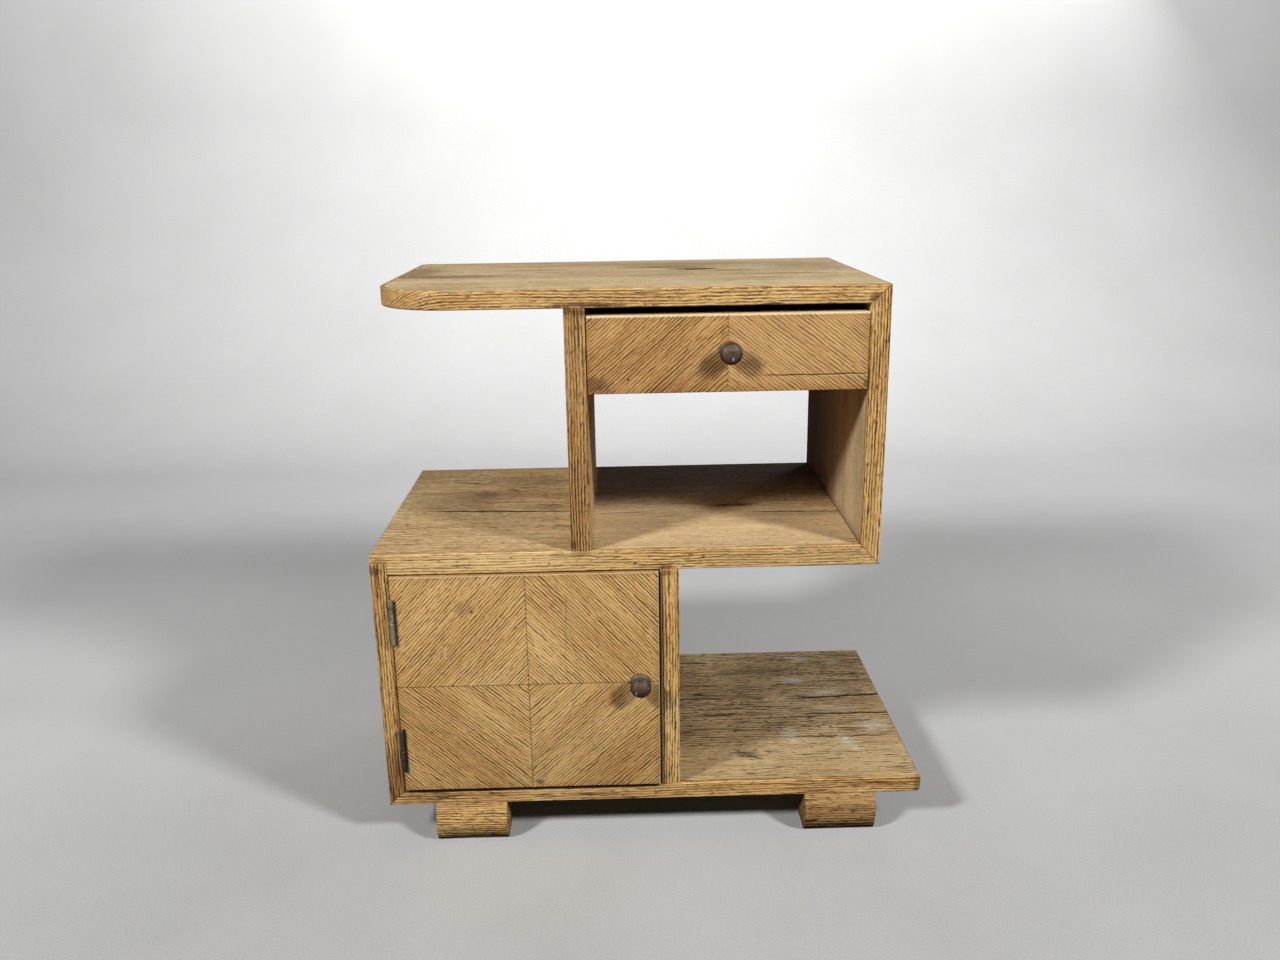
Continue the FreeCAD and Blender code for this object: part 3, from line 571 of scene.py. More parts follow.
    def seam(self, ends, width=0.5, strength=0.75):
        """Dirt in the joint between two (x, z) corners."""
        (x0, z0), (x1, z1) = ends
        length = math.hypot(x1 - x0, z1 - z0)
        offset = abs((self.x - x0) * ((z1 - z0) / length) - (self.z - z0) * ((x1 - x0) / length))
        return self.split_open(self.within(offset, 0.1, width, 0.5), strength)

    def mitred(self, *corners):
        """Dirt in the mitres at some corners."""
        for corner in corners:
            self.seam(MITRES[corner])
        return self

    def band_seam(self, strength):
        """Dirt in the joint behind the front edge band, where it has opened."""
        patches = self.rise(self.noise((14.0, 40.0, 14.0)), 0.42, 0.56)
        mask = self.within(abs(self.y - BAND_Y), 0.3, 1.5, 1.2)
        return self.split_open(mask * (0.2 + patches * 0.8), strength)

    def worn_arris(self, low, high, colour, factor=0.5, dirt=0.4, reach=2.2):
        """Rubbed arrises with some dirt along them, for a piece that fills a box."""
        gaps = [self.least(value - low[axis], high[axis] - value)
                for axis, value in enumerate((self.x, self.y, self.z))]
        rim = self.maths("MAXIMUM", self.least(gaps[0], gaps[1]),
                         self.least(self.maths("MAXIMUM", gaps[0], gaps[1]), gaps[2]))
        rubbed = self.within(rim, 0.2, reach, reach * 0.9)
        grime = self.rise(self.noise(28.0, 4.0, 0.6), 0.5, 0.64)
        self.colour = self.mix(rubbed * factor * (1 - grime), self.colour, colour, "SOFT_LIGHT")
        return self.stain(rubbed * grime, DIRT, dirt)

    def done(self, relief=0.6, depth=0.5 * MM):
        return self.close(self.colour, self.roughness, self.height, relief, depth, Specular_IOR_Level=0.3)


# Each wood's tones: its pores, then its dark, middle and light parts
TONES = {name: [linear(*tone) for tone in tones] for name, tones in {
    "band": ((74, 41, 18), (172, 120, 62), (222, 171, 99), (255, 218, 148)),
    "rail": ((118, 74, 38), (180, 129, 70), (230, 182, 111), (254, 222, 158)),
    "plain": ((104, 80, 54), (160, 134, 98), (202, 174, 132), (226, 202, 162)),
    "seat": ((84, 60, 38), (170, 137, 94), (216, 180, 129), (242, 211, 161)),
    "top": ((112, 84, 54), (188, 158, 116), (224, 196, 150), (246, 224, 182)),
    "greyed": ((38, 29, 20), (126, 103, 72), (186, 157, 112), (220, 192, 146)),
    "veneer": ((102, 60, 24), (186, 134, 73), (226, 177, 108), (255, 217, 151)),
    "drawer": ((86, 46, 18), (154, 102, 52), (196, 144, 82), (242, 196, 128)),
    "post": ((60, 34, 16), (142, 96, 50), (188, 140, 80), (230, 186, 122)),
    "blocks": ((48, 30, 16), (132, 90, 48), (178, 134, 78), (208, 165, 106)),
    "deal": ((150, 112, 68), (180, 142, 92), (206, 172, 122), (222, 194, 148)),
    "knob": ((26, 20, 16), (56, 44, 36), (96, 77, 62), (132, 110, 90)),
    "raw": ((180, 150, 108), (214, 184, 138), (236, 208, 164), (246, 224, 186)),
}.items()}

# How far a board's and its band's boxes reach into each other, so that the joint doesn't count as an arris
BEHIND = Vector((0, 9 * MM, 0))


def top_finish():
    wood = Wood("top_oak", TONES["top"], seed=1.0, pitch=3.6, lines=0.36, pores=0.35, run=22.0, mottle=0.8,
                fine=0.4)
    x, y = wood.x, wood.y
    upper = wood.upper_face(TOP_OVER_Z)
    wood.blots(x, y, upper, linear(92, 64, 42), (
        (58, 46, 40, 15, 0.95), (28, 78, 50, 14, 0.6), (96, 22, 44, 10, 0.6), (150, -24, 70, 11, 0.4)))
    wood.blots(x, y, upper, linear(120, 92, 62), (
        (-215, -2, 95, 26, 0.65), (-262, 60, 40, 70, 0.5), (-130, 60, 60, 14, 0.4), (190, 60, 70, 90, 0.25),
        (60, 120, 190, 30, 0.35)), 0.6)
    wood.cracks(x, y, upper, (
        (14, 61, 82, 58, 2.2, 0.85), (148, -23, 200, -28, 1.6, 0.6), (-30, 84, 20, 82, 1.6, 0.6),
        (-252, -20, -180, -16, 1.6, 0.4)))
    wood.blots(x, y, upper, linear(244, 226, 190), ((229, -140, 6, 7, 0.6),))
    wood.band_seam(0.45)
    wood.worn_arris(Vector((TOP_LEFT_X, BAND_Y, TOP_UNDER_Z)) - BEHIND,
                    Vector((RIGHT_OUT_X, BACK_Y, TOP_OVER_Z)), (0.35, 0.3, 0.25), dirt=0.45)
    return wood.mitred("top_right").done()


def middle_finish():
    wood = Wood("middle_oak", TONES["seat"], seed=2.0, pitch=3.6, lines=0.55, pores=0.55, run=26.0,
                mottle=0.9, fine=0.4)
    x, y = wood.x, wood.y
    upper = wood.upper_face(MIDDLE_TOP_Z)
    wood.blots(x, y, upper, linear(120, 90, 56), (
        (-120, 2, 34, 16, 0.5), (-225, 40, 70, 60, 0.3), (-150, 120, 110, 30, 0.35),
        (-200, -90, 80, 30, 0.15)))
    inside = wood.beyond(x, -64, -60)
    # Painted light: the front of the compartment floor is lightened where light falls in through the opening.
    pale = wood.within(y + wood.rag() * (30 * MM) + x * 0.2, -60, 60)
    wood.stain(pale * inside * upper, linear(240, 212, 164), 0.4)
    # Painted shade: the rear of the compartment floor is darkened, bluish, where shadow falls.
    deep = wood.beyond(y + wood.rag() * (20 * MM) - x * 0.15, -20, 90)
    wood.shade(deep * inside * upper, (0.26, 0.28, 0.44), 0.92)
    wood.blots(x, y, upper, linear(92, 84, 76), ((-195, 57, 20, 13, 0.4),), 0.9)
    wood.blots(x, y, upper, linear(40, 30, 24), ((110, -3, 34, 7, 0.75),), 0.9)
    wood.cracks(x, y, upper, (
        (-266, -4, -76, -17, 2.6, 1.0), (-196, -10, -140, -12, 2.8, 0.8), (-246, 116, -205, 106, 2.0, 0.75),
        (-218, 104, -190, 106, 1.8, 0.7), (-174, 80, -156, 71, 1.8, 0.9), (-115, 112, -84, 112, 2.0, 0.8),
        (-122, 6, -104, 14, 1.8, 0.75), (108, -31, 232, -37, 1.9, 1.0), (60, -6, 122, -10, 2.0, 0.9),
        (20, 6, 66, 4, 1.6, 0.7), (-62, -28, 4, -24, 1.6, 0.65), (-260, -62, -190, -66, 1.6, 0.5),
        (-230, 30, -150, 24, 1.8, 0.5)))
    wood.checks(0.6, 12.0, 190.0, 0.65, 0.69)
    wood.band_seam(0.6)
    wood.worn_arris(Vector((LEFT_X, BAND_Y, MIDDLE_UNDER_Z)) - BEHIND,
                    Vector((RIGHT_OUT_X, BACK_Y, MIDDLE_TOP_Z)), (0.3, 0.26, 0.2), 0.4)
    return wood.mitred("middle_right", "middle_left").done()


def shelf_finish():
    wood = Wood("shelf_oak", TONES["greyed"], seed=3.0, pitch=3.2, lines=0.8, pores=0.85, run=42.0,
                mottle=0.85, fine=0.5, broad_rows=0.5)
    x, y = wood.x, wood.y
    upper = wood.upper_face(BOTTOM_TOP_Z)
    # Painted shadow: the shelf beside the lower partition is darkened, where the partition and the board
    # above shade it.
    painted_shadow_by_partition = wood.within(x, 28, 84, 24) * wood.beyond(y, -130, -40)
    wood.shade(painted_shadow_by_partition * wood.beyond(x, 20, 24) * upper, (0.62, 0.61, 0.62), 0.74)
    # Painted light: the front of the shelf is lightened where light falls on it.
    front = wood.within(y + wood.rag() * (40 * MM) - x * 0.12, -126, -55)
    wood.stain(front * upper, linear(196, 164, 114), 0.45)
    wood.blots(x, y, upper, linear(150, 112, 70), ((270, -10, 60, 90, 0.4),), 0.5)
    wood.checks(0.85, 30.0, 380.0, 0.605, 0.65, wood.rise(x, 0.0, 24 * MM, 0.2, 1.0))
    wood.blots(x, y, upper, DIRT, (
        (189, 150, 30, 7, 0.6), (62, 54, 14, 5, 0.8), (75, 1, 24, 4, 0.5), (108, -96, 22, 10, 0.5),
        (150, 118, 60, 8, 0.3)), 0.9)
    wood.cracks(x, y, upper, (
        (30, 149, 84, 146, 2.8, 0.9), (155, 77, 204, 79, 2.2, 0.8), (166, 37, 320, 47, 2.8, 1.0),
        (180, -2, 320, -4, 2.5, 1.0), (148, -58, 280, -59, 2.0, 0.9), (60, -3, 110, 2, 2.6, 0.9),
        (92, -84, 122, -106, 1.6, 0.9), (98, -96, 128, -108, 1.5, 0.8), (86, -92, 118, -90, 1.6, 0.7),
        (220, -40, 266, -42, 1.8, 0.7), (30, 44, 100, 40, 2.4, 0.75), (120, 20, 180, 16, 2.0, 0.65),
        (40, -34, 110, -36, 1.8, 0.6), (240, 84, 300, 86, 2.0, 0.6)))
    wood.smudges(x, y, upper, linear(228, 224, 206), (
        (204, 152, 20, 10, 0.8), (190, 87, 24, 14, 0.75), (230, 53, 30, 12, 0.75), (267, -35, 28, 20, 0.7),
        (164, -49, 13, 22, 0.6), (172, -66, 22, 10, 0.4), (227, -66, 12, 16, 0.7), (236, -84, 13, 14, 0.5),
        (251, 140, 18, 12, 0.4), (235, 10, 36, 14, 0.3)))
    wood.stain(wood.line(x, y, (262, -146), (297, -146), 1.2) * upper, linear(226, 224, 212), 0.8)
    wood.band_seam(0.75)
    wood.worn_arris(Vector((LEFT_X, BAND_Y, BOTTOM_UNDER_Z)) - BEHIND,
                    Vector((SHELF_END_X, BACK_Y, BOTTOM_TOP_Z)), (0.3, 0.24, 0.18), 0.4, 0.5)
    end = wood.beyond(x - SHELF_END_X, -1.5, -0.4, 2)
    return wood.stain(end, linear(70, 48, 30), 0.5).mitred("bottom_left").done()


def upright_finish(node, seed):
    """A veneered upright, with its grain up and down."""
    low, high = box(node)
    wood = Wood(node + "_oak", TONES["plain"], turn=90.0, seed=seed, pitch=2.4, run=40.0, mottle=0.8)
    wood.checks(0.4, 9.0, 170.0, 0.68, 0.72)
    wood.band_seam(0.7)
    wood.stain(wood.within(wood.z - low.z, 2, 16, 14), DIRT, 0.18)
    return wood.worn_arris(low - BEHIND, high, (0.3, 0.26, 0.2))


def band_finish(name, node, seed, upright=False, tones="band", joint=0.6):
    """A solid oak band along a front edge, with strong rows of pores."""
    low, high = box(node)
    wood = Wood(name, TONES[tones], turn=90.0 if upright else 0.0, seed=seed, pitch=2.9, lines=0.92,
                pores=0.8, run=40.0, wander=3.5, mottle=0.85, broad_rows=0.56)
    wood.checks(0.75, 16.0, 260.0, 0.64, 0.68)
    wood.band_seam(joint)
    return wood.worn_arris(low, high + BEHIND, (0.62, 0.56, 0.46), dirt=0.5, reach=2.4)


def veneer_finish(node, tones, turn, seed, low, high):
    """A leaf of the matched veneer on the door or the drawer, whose front fills a box."""
    wood = Wood(node.replace("veneer", "oak"), TONES[tones], turn=turn, seed=seed, pitch=3.0, lines=0.82,
                pores=0.45, run=36.0, wander=3.5, mottle=0.55)
    return wood.shade(wood.within(wood.inset(low, high), 0.5, 9, 6), (0.72, 0.66, 0.58), 0.45)


def door_leaf_finish(node, turn, seed):
    low, high = box("door_panel")
    wood = veneer_finish(node, "veneer", turn, seed, low, high)
    x, z = wood.x, wood.z
    wood.seam(((DOOR_SEAM_X - 0.6 * MM, low.z), (DOOR_SEAM_X + 0.6 * MM, high.z)), 0.45, 0.7)
    wood.split_open(wood.within(abs(z - DOOR_SEAM_Z), 0.1, 0.5), 0.65)
    if "upper_left" in node:
        wood.stain(wood.line(z, x, (219, -221.5), (236, -220.5), 0.9, 0.8), linear(226, 210, 180), 0.6)
        wood.blots(x, z, 1.0, DIRT, ((-191, 274, 2.2, 2.2, 0.85),), 0.4)
        wood.blots(x, z, 1.0, linear(128, 88, 50), ((-198, 280, 16, 12, 0.35),), 0.8)
    if "upper_right" in node:
        wood.split_open(wood.line(z, x, (211, -94.5), (294, -91.5), 0.4, 0.5), 0.22)
        wood.blots(x, z, 1.0, linear(224, 184, 128), ((-90, 262, 22, 30, 0.35),))
    if "lower" in node:
        # Painted shade: the lower leaves grow darker towards the bottom of the door, as the light falls off
        # there.
        wood.shade(wood.rise(z, 66 * MM, 190 * MM, 1.0, 0.2), (0.80, 0.76, 0.72), 0.7)
    if "lower_left" in node:
        wood.blots(x, z, 1.0, DIRT, ((-128, 75, 9, 5, 0.6),))
    if "lower_right" in node:
        wood.blots(x, z, 1.0, DIRT, ((-127, 72, 8, 4, 0.6),))
        wood.blots(x, z, 1.0, linear(110, 74, 44), ((-40, 172, 13, 22, 0.35),), 0.6)
    wood.stain(wood.beyond(z - high.z, -1.3, -0.5, 1.2), linear(206, 176, 130), 0.7)
    wood.stain(wood.beyond(x - high.x, -1.5, -0.7, 1.4), linear(214, 192, 160), 0.6)
    wood.stain(wood.within(z - low.z, 0.4, 1.8, 3.5), linear(84, 48, 26), 0.75)
    return wood.done(0.9, 0.6 * MM)


def drawer_leaf_finish(node, turn, seed):
    low, high = box("drawer_front")
    wood = veneer_finish(node, "drawer", turn, seed, low, high)
    x, z = wood.x, wood.z
    streaks = wood.figure(14.0, 42.0, 4.0, 0.65)
    wood.shade(wood.rise(streaks, 0.44, 0.64), (0.70, 0.61, 0.51), 0.42)
    wood.stain(wood.fall(streaks, 0.38, 0.50), linear(240, 194, 124), 0.15)
    wood.seam(((DRAWER_SEAM_X, low.z), (DRAWER_SEAM_X, high.z)), 0.35, 0.45)
    if node.endswith("left"):
        wood.blots(x, z, 1.0, linear(104, 62, 34), ((-56, 511, 24, 12, 0.6),), 0.8)
        wood.blots(x, z, 1.0, DIRT, ((-23, 516.5, 2.0, 2.0, 0.85),), 0.4)
        wood.blots(x, z, 1.0, linear(98, 66, 40), ((60, 529, 15, 10, 0.45),))
        wood.shade(wood.within(z, 503, 556), (0.84, 0.78, 0.74), 0.45)
    else:
        wood.stain(wood.beyond(z, 500, 520), linear(248, 206, 142), 0.2)
        wood.split_open(wood.line(x, z, (105, 518), (222, 518), 0.8, 0.5), 0.85)
        wood.stain(wood.line(x, z, (160, 516.6), (222, 516.6), 0.7, 0.5), linear(244, 214, 160), 0.5)
        wood.blots(x, z, 1.0, linear(98, 66, 40), ((101, 530, 17, 8, 0.4),))
        wood.blots(x, z, 1.0, DIRT, ((213, 508, 4, 4, 0.6),), 0.5)
        wood.stain(wood.line(x, z, (211, 571.8), (217, 571.8), 0.9, 0.1), DIRT, 0.9)
    wood.stain(wood.beyond(z - high.z, -2.1, -1.3, 0.9), linear(244, 222, 180), 0.9)
    return wood.done(0.9, 0.6 * MM)


def foot_finish(name, seed, tones):
    wood = Wood(name, TONES[tones], seed=seed, pitch=2.9, lines=0.85, pores=0.9, run=46.0, wander=7.0,
                mottle=1.0, broad_rows=0.56)
    wood.checks(0.9, 20.0, 200.0, 0.60, 0.65)
    # Painted light: the top of the foot's front is lightened, where it faces up to the light.
    wood.stain(wood.beyond(wood.z, 33, 38, 5), linear(188, 150, 98), 0.3)
    # Painted shade: the bottom of the foot is darkened, where it turns down towards the floor.
    wood.stain(wood.within(wood.z, 1, 13, 10), linear(66, 46, 30), 0.6)
    return wood.done(0.8, 0.7 * MM)


def knob_finish(name, node, centre, scratch, glow):
    """Dark stained hardwood, turned, with rings, rubbed rims and a scratch, about a centre (x, z) in mm.

    glow makes the wood lighter. The lower half and the sides are darkened with painted shade, and the top of
    the back disc has a painted highlight.
    """
    high = box(node)[1]
    tones = [tuple(glow * share for share in tone) for tone in TONES["knob"]]
    wood = Wood(name, tones, seed=centre[0] * 0.1, pitch=2.0, lines=0.35, pores=0.4, mottle=0.8)
    dx = wood.x - centre[0] * MM
    dz = wood.z - centre[1] * MM
    radius = wood.maths("SQRT", dx * dx + dz * dz)
    rings = wood.maths("SINE", radius * (2 * math.pi / (1.1 * MM)))
    wood.height = wood.height + rings * 0.12
    # Painted shade: the lower half is darkened, where it faces down.
    wood.shade(wood.within(dz, -9, 3, 3), (0.46, 0.46, 0.5), 0.8)
    # Painted shade: darker towards the sides, where the dome turns away.
    wood.shade(wood.beyond(radius, 7, 11), (0.5, 0.48, 0.46), 0.7)
    wood.shade(wood.within(abs(radius - 9.7 * MM), 0.2, 0.9, 1.2), (0.35, 0.33, 0.32), 0.6)
    # Painted highlight: the upper part of the back disc is lightened.
    back = wood.beyond(wood.y - high.y, -9, -6, 2)
    wood.stain(back * wood.beyond(dz, 0, 5), linear(124, 112, 80), 0.5)
    wood.blots(wood.x, wood.z, 1.0, linear(206, 196, 176), ((*scratch, 1.3, 2.4, 0.8),), 0.5)
    wood.roughness = wood.roughness - 0.22
    return wood.done(0.5, 0.4 * MM)


def metal(name, colour, roughness, rust=0.35, shine=0.8, shaded_side_x=None):
    """Dull metal with tarnish. The last argument is where, in metres, a barrel turns away from the light:
    beyond it the barrel is darkened with painted shade, and dirt streaks are added all over.
    """
    finish = Finish(name)
    grime = finish.noise(260.0, 4.0, 0.6)
    shade = finish.mix(finish.rise(grime, 0.42, 0.66), colour, tuple(c * 0.35 for c in colour))
    bloom = finish.rise(finish.noise((120.0, 120.0, 60.0), 4.0, 0.6), 0.54, 0.68)
    shade = finish.mix(bloom * rust, shade, linear(104, 72, 48))
    if shaded_side_x:
        # Painted shade on the side of the barrel that turns away, mixed with real dirt streaks.
        edge = finish.beyond(finish.x - shaded_side_x, -0.6, 0.6, 1.0)
        streaks = finish.rise(finish.noise((1400.0, 900.0, 120.0)), 0.5, 0.66)
        shade = finish.mix(edge * 0.75 + streaks * 0.4, shade, DIRT)
    rough = roughness + (grime - 0.5) * 0.5 + bloom * 0.15
    return finish.close(shade, rough, grime, 0.25, 0.2 * MM, Metallic=shine)


# The catch's spring


def make_spring():
    """A coiled wire spring under the catch's ball."""
    low, high = box("catch_spring")
    middle = (low + high) / 2
    wire, turns, travel = 0.35 * MM, 7, 1.8 * MM
    length = high.z - low.z
    spring = settle(start("coiled_catch_spring", bpy.ops.mesh.primitive_circle_add, vertices=10, radius=wire,
                          rotation=(QUARTER, 0, 0), location=((high.x - low.x) / 2 - wire, 0, 0)))
    coil = spring.modifiers.new("coil", "SCREW")
    coil.iterations = turns
    coil.steps = coil.render_steps = 20
    coil.screw_offset = (length - 2 * wire) / turns
    apply_all(spring)
    with Shaping(spring) as work:
        work.everything()
        bpy.ops.mesh.fill_holes(sides=0)
        work.mend()
        bpy.ops.transform.translate(value=(middle.x, middle.y, low.z + wire))
    dress(spring, metal("spring_steel", (0.30, 0.30, 0.29), 0.35, 0.15), ["catch_spring"], "door")
    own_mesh(spring)


# The top, with its rounded left end and its band


def round_left_end(work, x, corners):
    """Rounds the upright corners at x, each given as its y, radius and number of segments."""
    for y, radius, segments in corners:
        work.bevel(radius, segments, lambda a, b: level(x, a.x, b.x) and level(y, a.y, b.y))


def top_slab():
    """The whole top, band included, with its outer arrises worn."""
    low = Vector((TOP_LEFT_X, FRONT_Y, TOP_UNDER_Z))
    high = Vector((RIGHT_OUT_X, BACK_Y, TOP_OVER_Z))
    slab = start_block("top_slab", low, high)
    slices, edge, rim = 60, 1.0 * MM, 1.6 * MM - TOUCH
    with Shaping(slab) as work:
        round_left_end(work, low.x, ((low.y, 80 * MM, 28), (high.y, 12 * MM, 8)))
        work.divide(slices, lambda a, b: abs(a.z - b.z) < TOUCH and (b - a).length > 100 * MM)
        work.bevel(BOLD, 3, lambda a, b: abs(a.z - b.z) < TOUCH and level(high.x, a.x, b.x))
        work.bevel(edge, 3, lambda a, b: any(level(z, a.z, b.z) for z in (low.z, high.z))
                   and max(a.x, b.x) < high.x - 0.5 * MM)
    wear(slab, lambda co: TOUCH < co.z - low.z < rim or TOUCH < high.z - co.z < rim, 0.5 * MM, 9 * MM)
    with Shaping(slab) as work:
        mitre(work, "top_right", (low + high) / 2)
    return slab


def top_core():
    """The space inside the band, taller than the top."""
    spare, tail = 2 * MM, 18 * MM
    band = BAND_Y - FRONT_Y
    low = Vector((TOP_LEFT_X + band, BAND_Y, TOP_UNDER_Z - spare))
    high = Vector((RIGHT_OUT_X + spare, BACK_Y - band, TOP_OVER_Z + spare))
    core = start_block("top_core", low, high)
    with Shaping(core) as work:
        round_left_end(work, low.x, ((low.y, 75 * MM, 28), (high.y, 7 * MM, 8)))
        work.slice((TOP_LEFT_X + tail, 0, 0), (1, 0, 0))
        work.faces(lambda middle, normal: normal.y > 0.99 and middle.x > TOP_LEFT_X + tail)
        work.extrude(0, band + spare, 0)
        work.mend()
    return core


def make_top():
    slab, core = top_slab(), top_core()
    activate(slab)
    bpy.ops.object.duplicate()
    board = name_piece("worn_top_board")
    carve(board, core, "INTERSECT", keep_tool=True)
    slab.name = slab.data.name = "worn_top_band"
    carve(slab, core)
    dress(board, top_finish(), ["top_board"])
    band = band_finish("top_band_oak", "top_lipping", 5.0, tones="rail", joint=0.0)
    band.grime(0.8, ((-66, 590.5, 32, 3.5), (-92, 589, 12, 3), (-44, 589.5, 26, 2.5), (222, 592, 10, 8)))
    band.shade(band.within(band.x, -268, -235, 20), (0.74, 0.66, 0.6), 0.6)
    # Painted shade: the band is darkened along its lower edge and underside, above the drawer.
    band.stain(band.within(band.z - TOP_UNDER_Z, 0.3, 1.8, 1.5), DIRT, 0.6)
    dress(slab, band.mitred("top_right").done(), ["top_lipping"])


# Boards and bands


def make_board(node, finish, arrises, mitres=(), pockets=()):
    """A board or a band, with its pockets as pairs of corners."""
    piece = shape_board(node, arrises, mitres)
    for low, high in pockets:
        carve(piece, start_block("pocket", low, high))
    dress(piece, finish, [node])


def leaf_pockets():
    """Where the hinges' leaves lie in the left side, cut from in front of it."""
    depth, ahead, spare = 1.3 * MM, 2 * MM, 0.1 * MM
    for hinge in HINGES:
        low, high = box(hinge + "_frame_leaf")
        yield (Vector((LEFT_IN_X - depth, FRONT_Y - ahead, low.z - spare)),
               Vector((LEFT_IN_X + 1 * MM, high.y + spare, high.z + spare)))


def make_boards():
    room = Vector((0.1, 0.1, 0.1)) * MM
    low, high = box("cupboard_back")
    deeper = Vector((0, 1 * MM, 0))
    back = (low - room - deeper, high + room + deeper)
    low, high = box("catch_strike")
    strike = (low - room - UP * (0.5 * MM), high + room)
    make_board("middle_board", middle_finish(),
               {"left top": EASED, "back top": SOFT, "back bottom": SOFT, "right bottom": SOFT},
               ("middle_right", "middle_left"), [strike])
    make_board("bottom_board", shelf_finish(),
               {"left bottom": SOFT, "right top": SHELF_TOP_EDGE, "right bottom": SHELF_CORNER,
                "back top": SOFT, "back bottom": SOFT}, ("bottom_left",))
    right = upright_finish("right_side", 4.0)
    right.stain(right.within(right.z - MIDDLE_TOP_Z, 2, 12, 6), DIRT, 0.3)
    # Painted shade: the rear of the inner face is darkened, bluish, where shadow falls in the compartment.
    inner = right.within(right.x - RIGHT_IN_X, 0.5, 1.5)
    painted_shade_rear = right.beyond(right.y + right.rag() * (20 * MM) + right.z * 0.25, 60, 170)
    right.shade(inner * painted_shade_rear, (0.52, 0.48, 0.66), 0.9)
    make_board("right_side", right.mitred("top_right", "middle_right").done(),
               {"right top": BOLD, "right bottom": SOFT, "back left": FIRM, "back right": SOFT},
               ("top_right", "middle_right"))
    left = upright_finish("left_side", 6.3)
    make_board("left_side", left.mitred("middle_left", "bottom_left").done(),
               {"left top": EASED, "left bottom": SOFT, "back left": SOFT, "back right": FIRM},
               ("middle_left", "bottom_left"), [back, *leaf_pockets()])
    make_board("upper_partition", upright_finish("upper_partition", 7.1).done(),
               {"back left": SOFT, "back right": FIRM})
    make_board("lower_partition", upright_finish("lower_partition", 8.4).done(),
               {"back left": FIRM, "back right": SOFT}, (), [back])


UPRIGHT_EDGES = {"front left": SOFT, "front right": SOFT}


def make_upright_bands():
    right = band_finish("right_band_oak", "right_side_lipping", 11.0, True)
    right.grime(0.4, ((222, 592, 9, 9),))
    make_board("right_side_lipping", right.mitred("top_right", "middle_right").done(),
               {**UPRIGHT_EDGES, "right top": BOLD, "right bottom": SOFT}, ("top_right", "middle_right"))
    upper = band_finish("upper_partition_band_oak", "upper_partition_lipping", 12.0, True, "post")
    upper.grime(0.7, ((-70, 583, 14, 5), (-80, 585, 7, 4), (-83, 345, 5, 7)))
    make_board("upper_partition_lipping", upper.done(), UPRIGHT_EDGES)
    lower = band_finish("lower_partition_band_oak", "lower_partition_lipping", 13.0, True)
    # Painted shadow: the lipping beside the door's right edge is darkened, where the door's proud edge shades
    # it.
    lower.stain(lower.within(lower.x, 8, 14, 3), linear(74, 42, 26), 0.55)
    lower.shade(1.0, (0.97, 0.94, 0.88))
    lower.cracks(lower.z, lower.x, 1.0, ((70, 9.6, 306, 8.8, 0.8, 0.8),), 0.4)
    lower.stain(lower.within(lower.x, 7.3, 7.9, 0.8), linear(206, 178, 142), 0.5)
    lower.grime(0.6, ((14, 311, 9, 5),))
    make_board("lower_partition_lipping", lower.done(), UPRIGHT_EDGES)
    left = band_finish("left_band_oak", "left_side_lipping", 14.0, True)
    left.grime(0.75, ((-288, 320, 9, 8),))
    left.grime(0.4, ((-286, 80, 14, 40),))
    left.shade(left.within(left.z, 60, 180), (0.88, 0.80, 0.74))
    left.cracks(left.z, left.x, 1.0, (
        (285, -288, 330, -286.5, 0.8, 0.8), (60, -281, 120, -280, 0.7, 0.6)), 0.6)
    make_board("left_side_lipping", left.mitred("bottom_left").done(),
               {**UPRIGHT_EDGES, "left bottom": EASED}, ("bottom_left",))


def make_bottom_band():
    band = band_finish("bottom_band_oak", "bottom_lipping", 15.0, tones="rail")
    band.cracks(band.x, band.z, 1.0, (
        (150, 61, 296, 61.6, 0.8, 0.6), (200, 57, 292, 56, 0.6, 0.6), (-250, 60, -150, 60.5, 0.7, 0.6)), 0.5)
    # Painted shadow: below the door the band is darkened, where the door's proud front edge shades it.
    painted_door_shadow = band.beyond(band.z, 58.5, 61, 2.5) * band.within(band.x, -3, 8)
    band.stain(painted_door_shadow, linear(58, 32, 20), 0.75)
    band.grime(0.5, ((290, 54, 6, 12),), linear(84, 56, 34))
    rows = (-250, 52, 34, 5), (-70, 53, 60, 4), (60, 56, 50, 4), (160, 52, 40, 3), (250, 55, 44, 4)
    band.grime(0.36, rows, linear(128, 66, 36))
    band.checks(0.7, 18.0, 300.0, 0.58, 0.63)
    band.shade(band.beyond(band.x, 10, 30), (0.98, 0.92, 0.84))
    make_board("bottom_lipping", band.mitred("bottom_left").done(),
               {"front top": SOFT, "front bottom": SOFT, "left bottom": EASED, "front right": EASED,
                "right top": SHELF_TOP_EDGE, "right bottom": SHELF_CORNER}, ("bottom_left",))


def make_middle_band():
    band = band_finish("middle_band_oak", "middle_lipping", 16.0)
    x, z = band.x, band.z
    band.blots(x, z, 1.0, DIRT, [
        (*hole, 2.4, 2.0, 0.85) for hole in ((-203.4, 324.5), (-108.3, 324.5), (-19, 323), (52, 329))], 0.5)
    band.cracks(x, z, 1.0, (
        (-262, 331, -180, 332, 0.7, 0.65), (-240, 323, -140, 325, 0.6, 0.65), (-20, 320, 26, 321, 0.9, 0.65),
        (40, 327, 140, 330, 0.7, 0.65), (-110, 333, -60, 332, 0.7, 0.65),
        (150, 323, 215, 322, 0.6, 0.65)), 0.6)
    band.stain(band.beyond(x, 30, 80, 30), linear(240, 206, 150), 0.22)
    band.stain(band.within(x, -60, -20), linear(240, 204, 146), 0.28)
    band.grime(0.5, ((-284, 331, 14, 5),))
    band.grime(0.6, ((14, 318, 12, 4),))
    band.grime(0.45, ((-74, 335, 15, 3.5),))
    low, high = box("middle_lipping")
    room = Vector((5, 5, 5)) * MM
    make_board("middle_lipping", band.mitred("middle_right").done(),
               {"front top": SOFT, "front bottom": SOFT, "front left": SOFT, "left top": EASED,
                "right bottom": SOFT}, ("middle_right",),
               [(low - room, Vector((LEFT_IN_X, high.y + room.y, LAP_Z)))])


# Feet


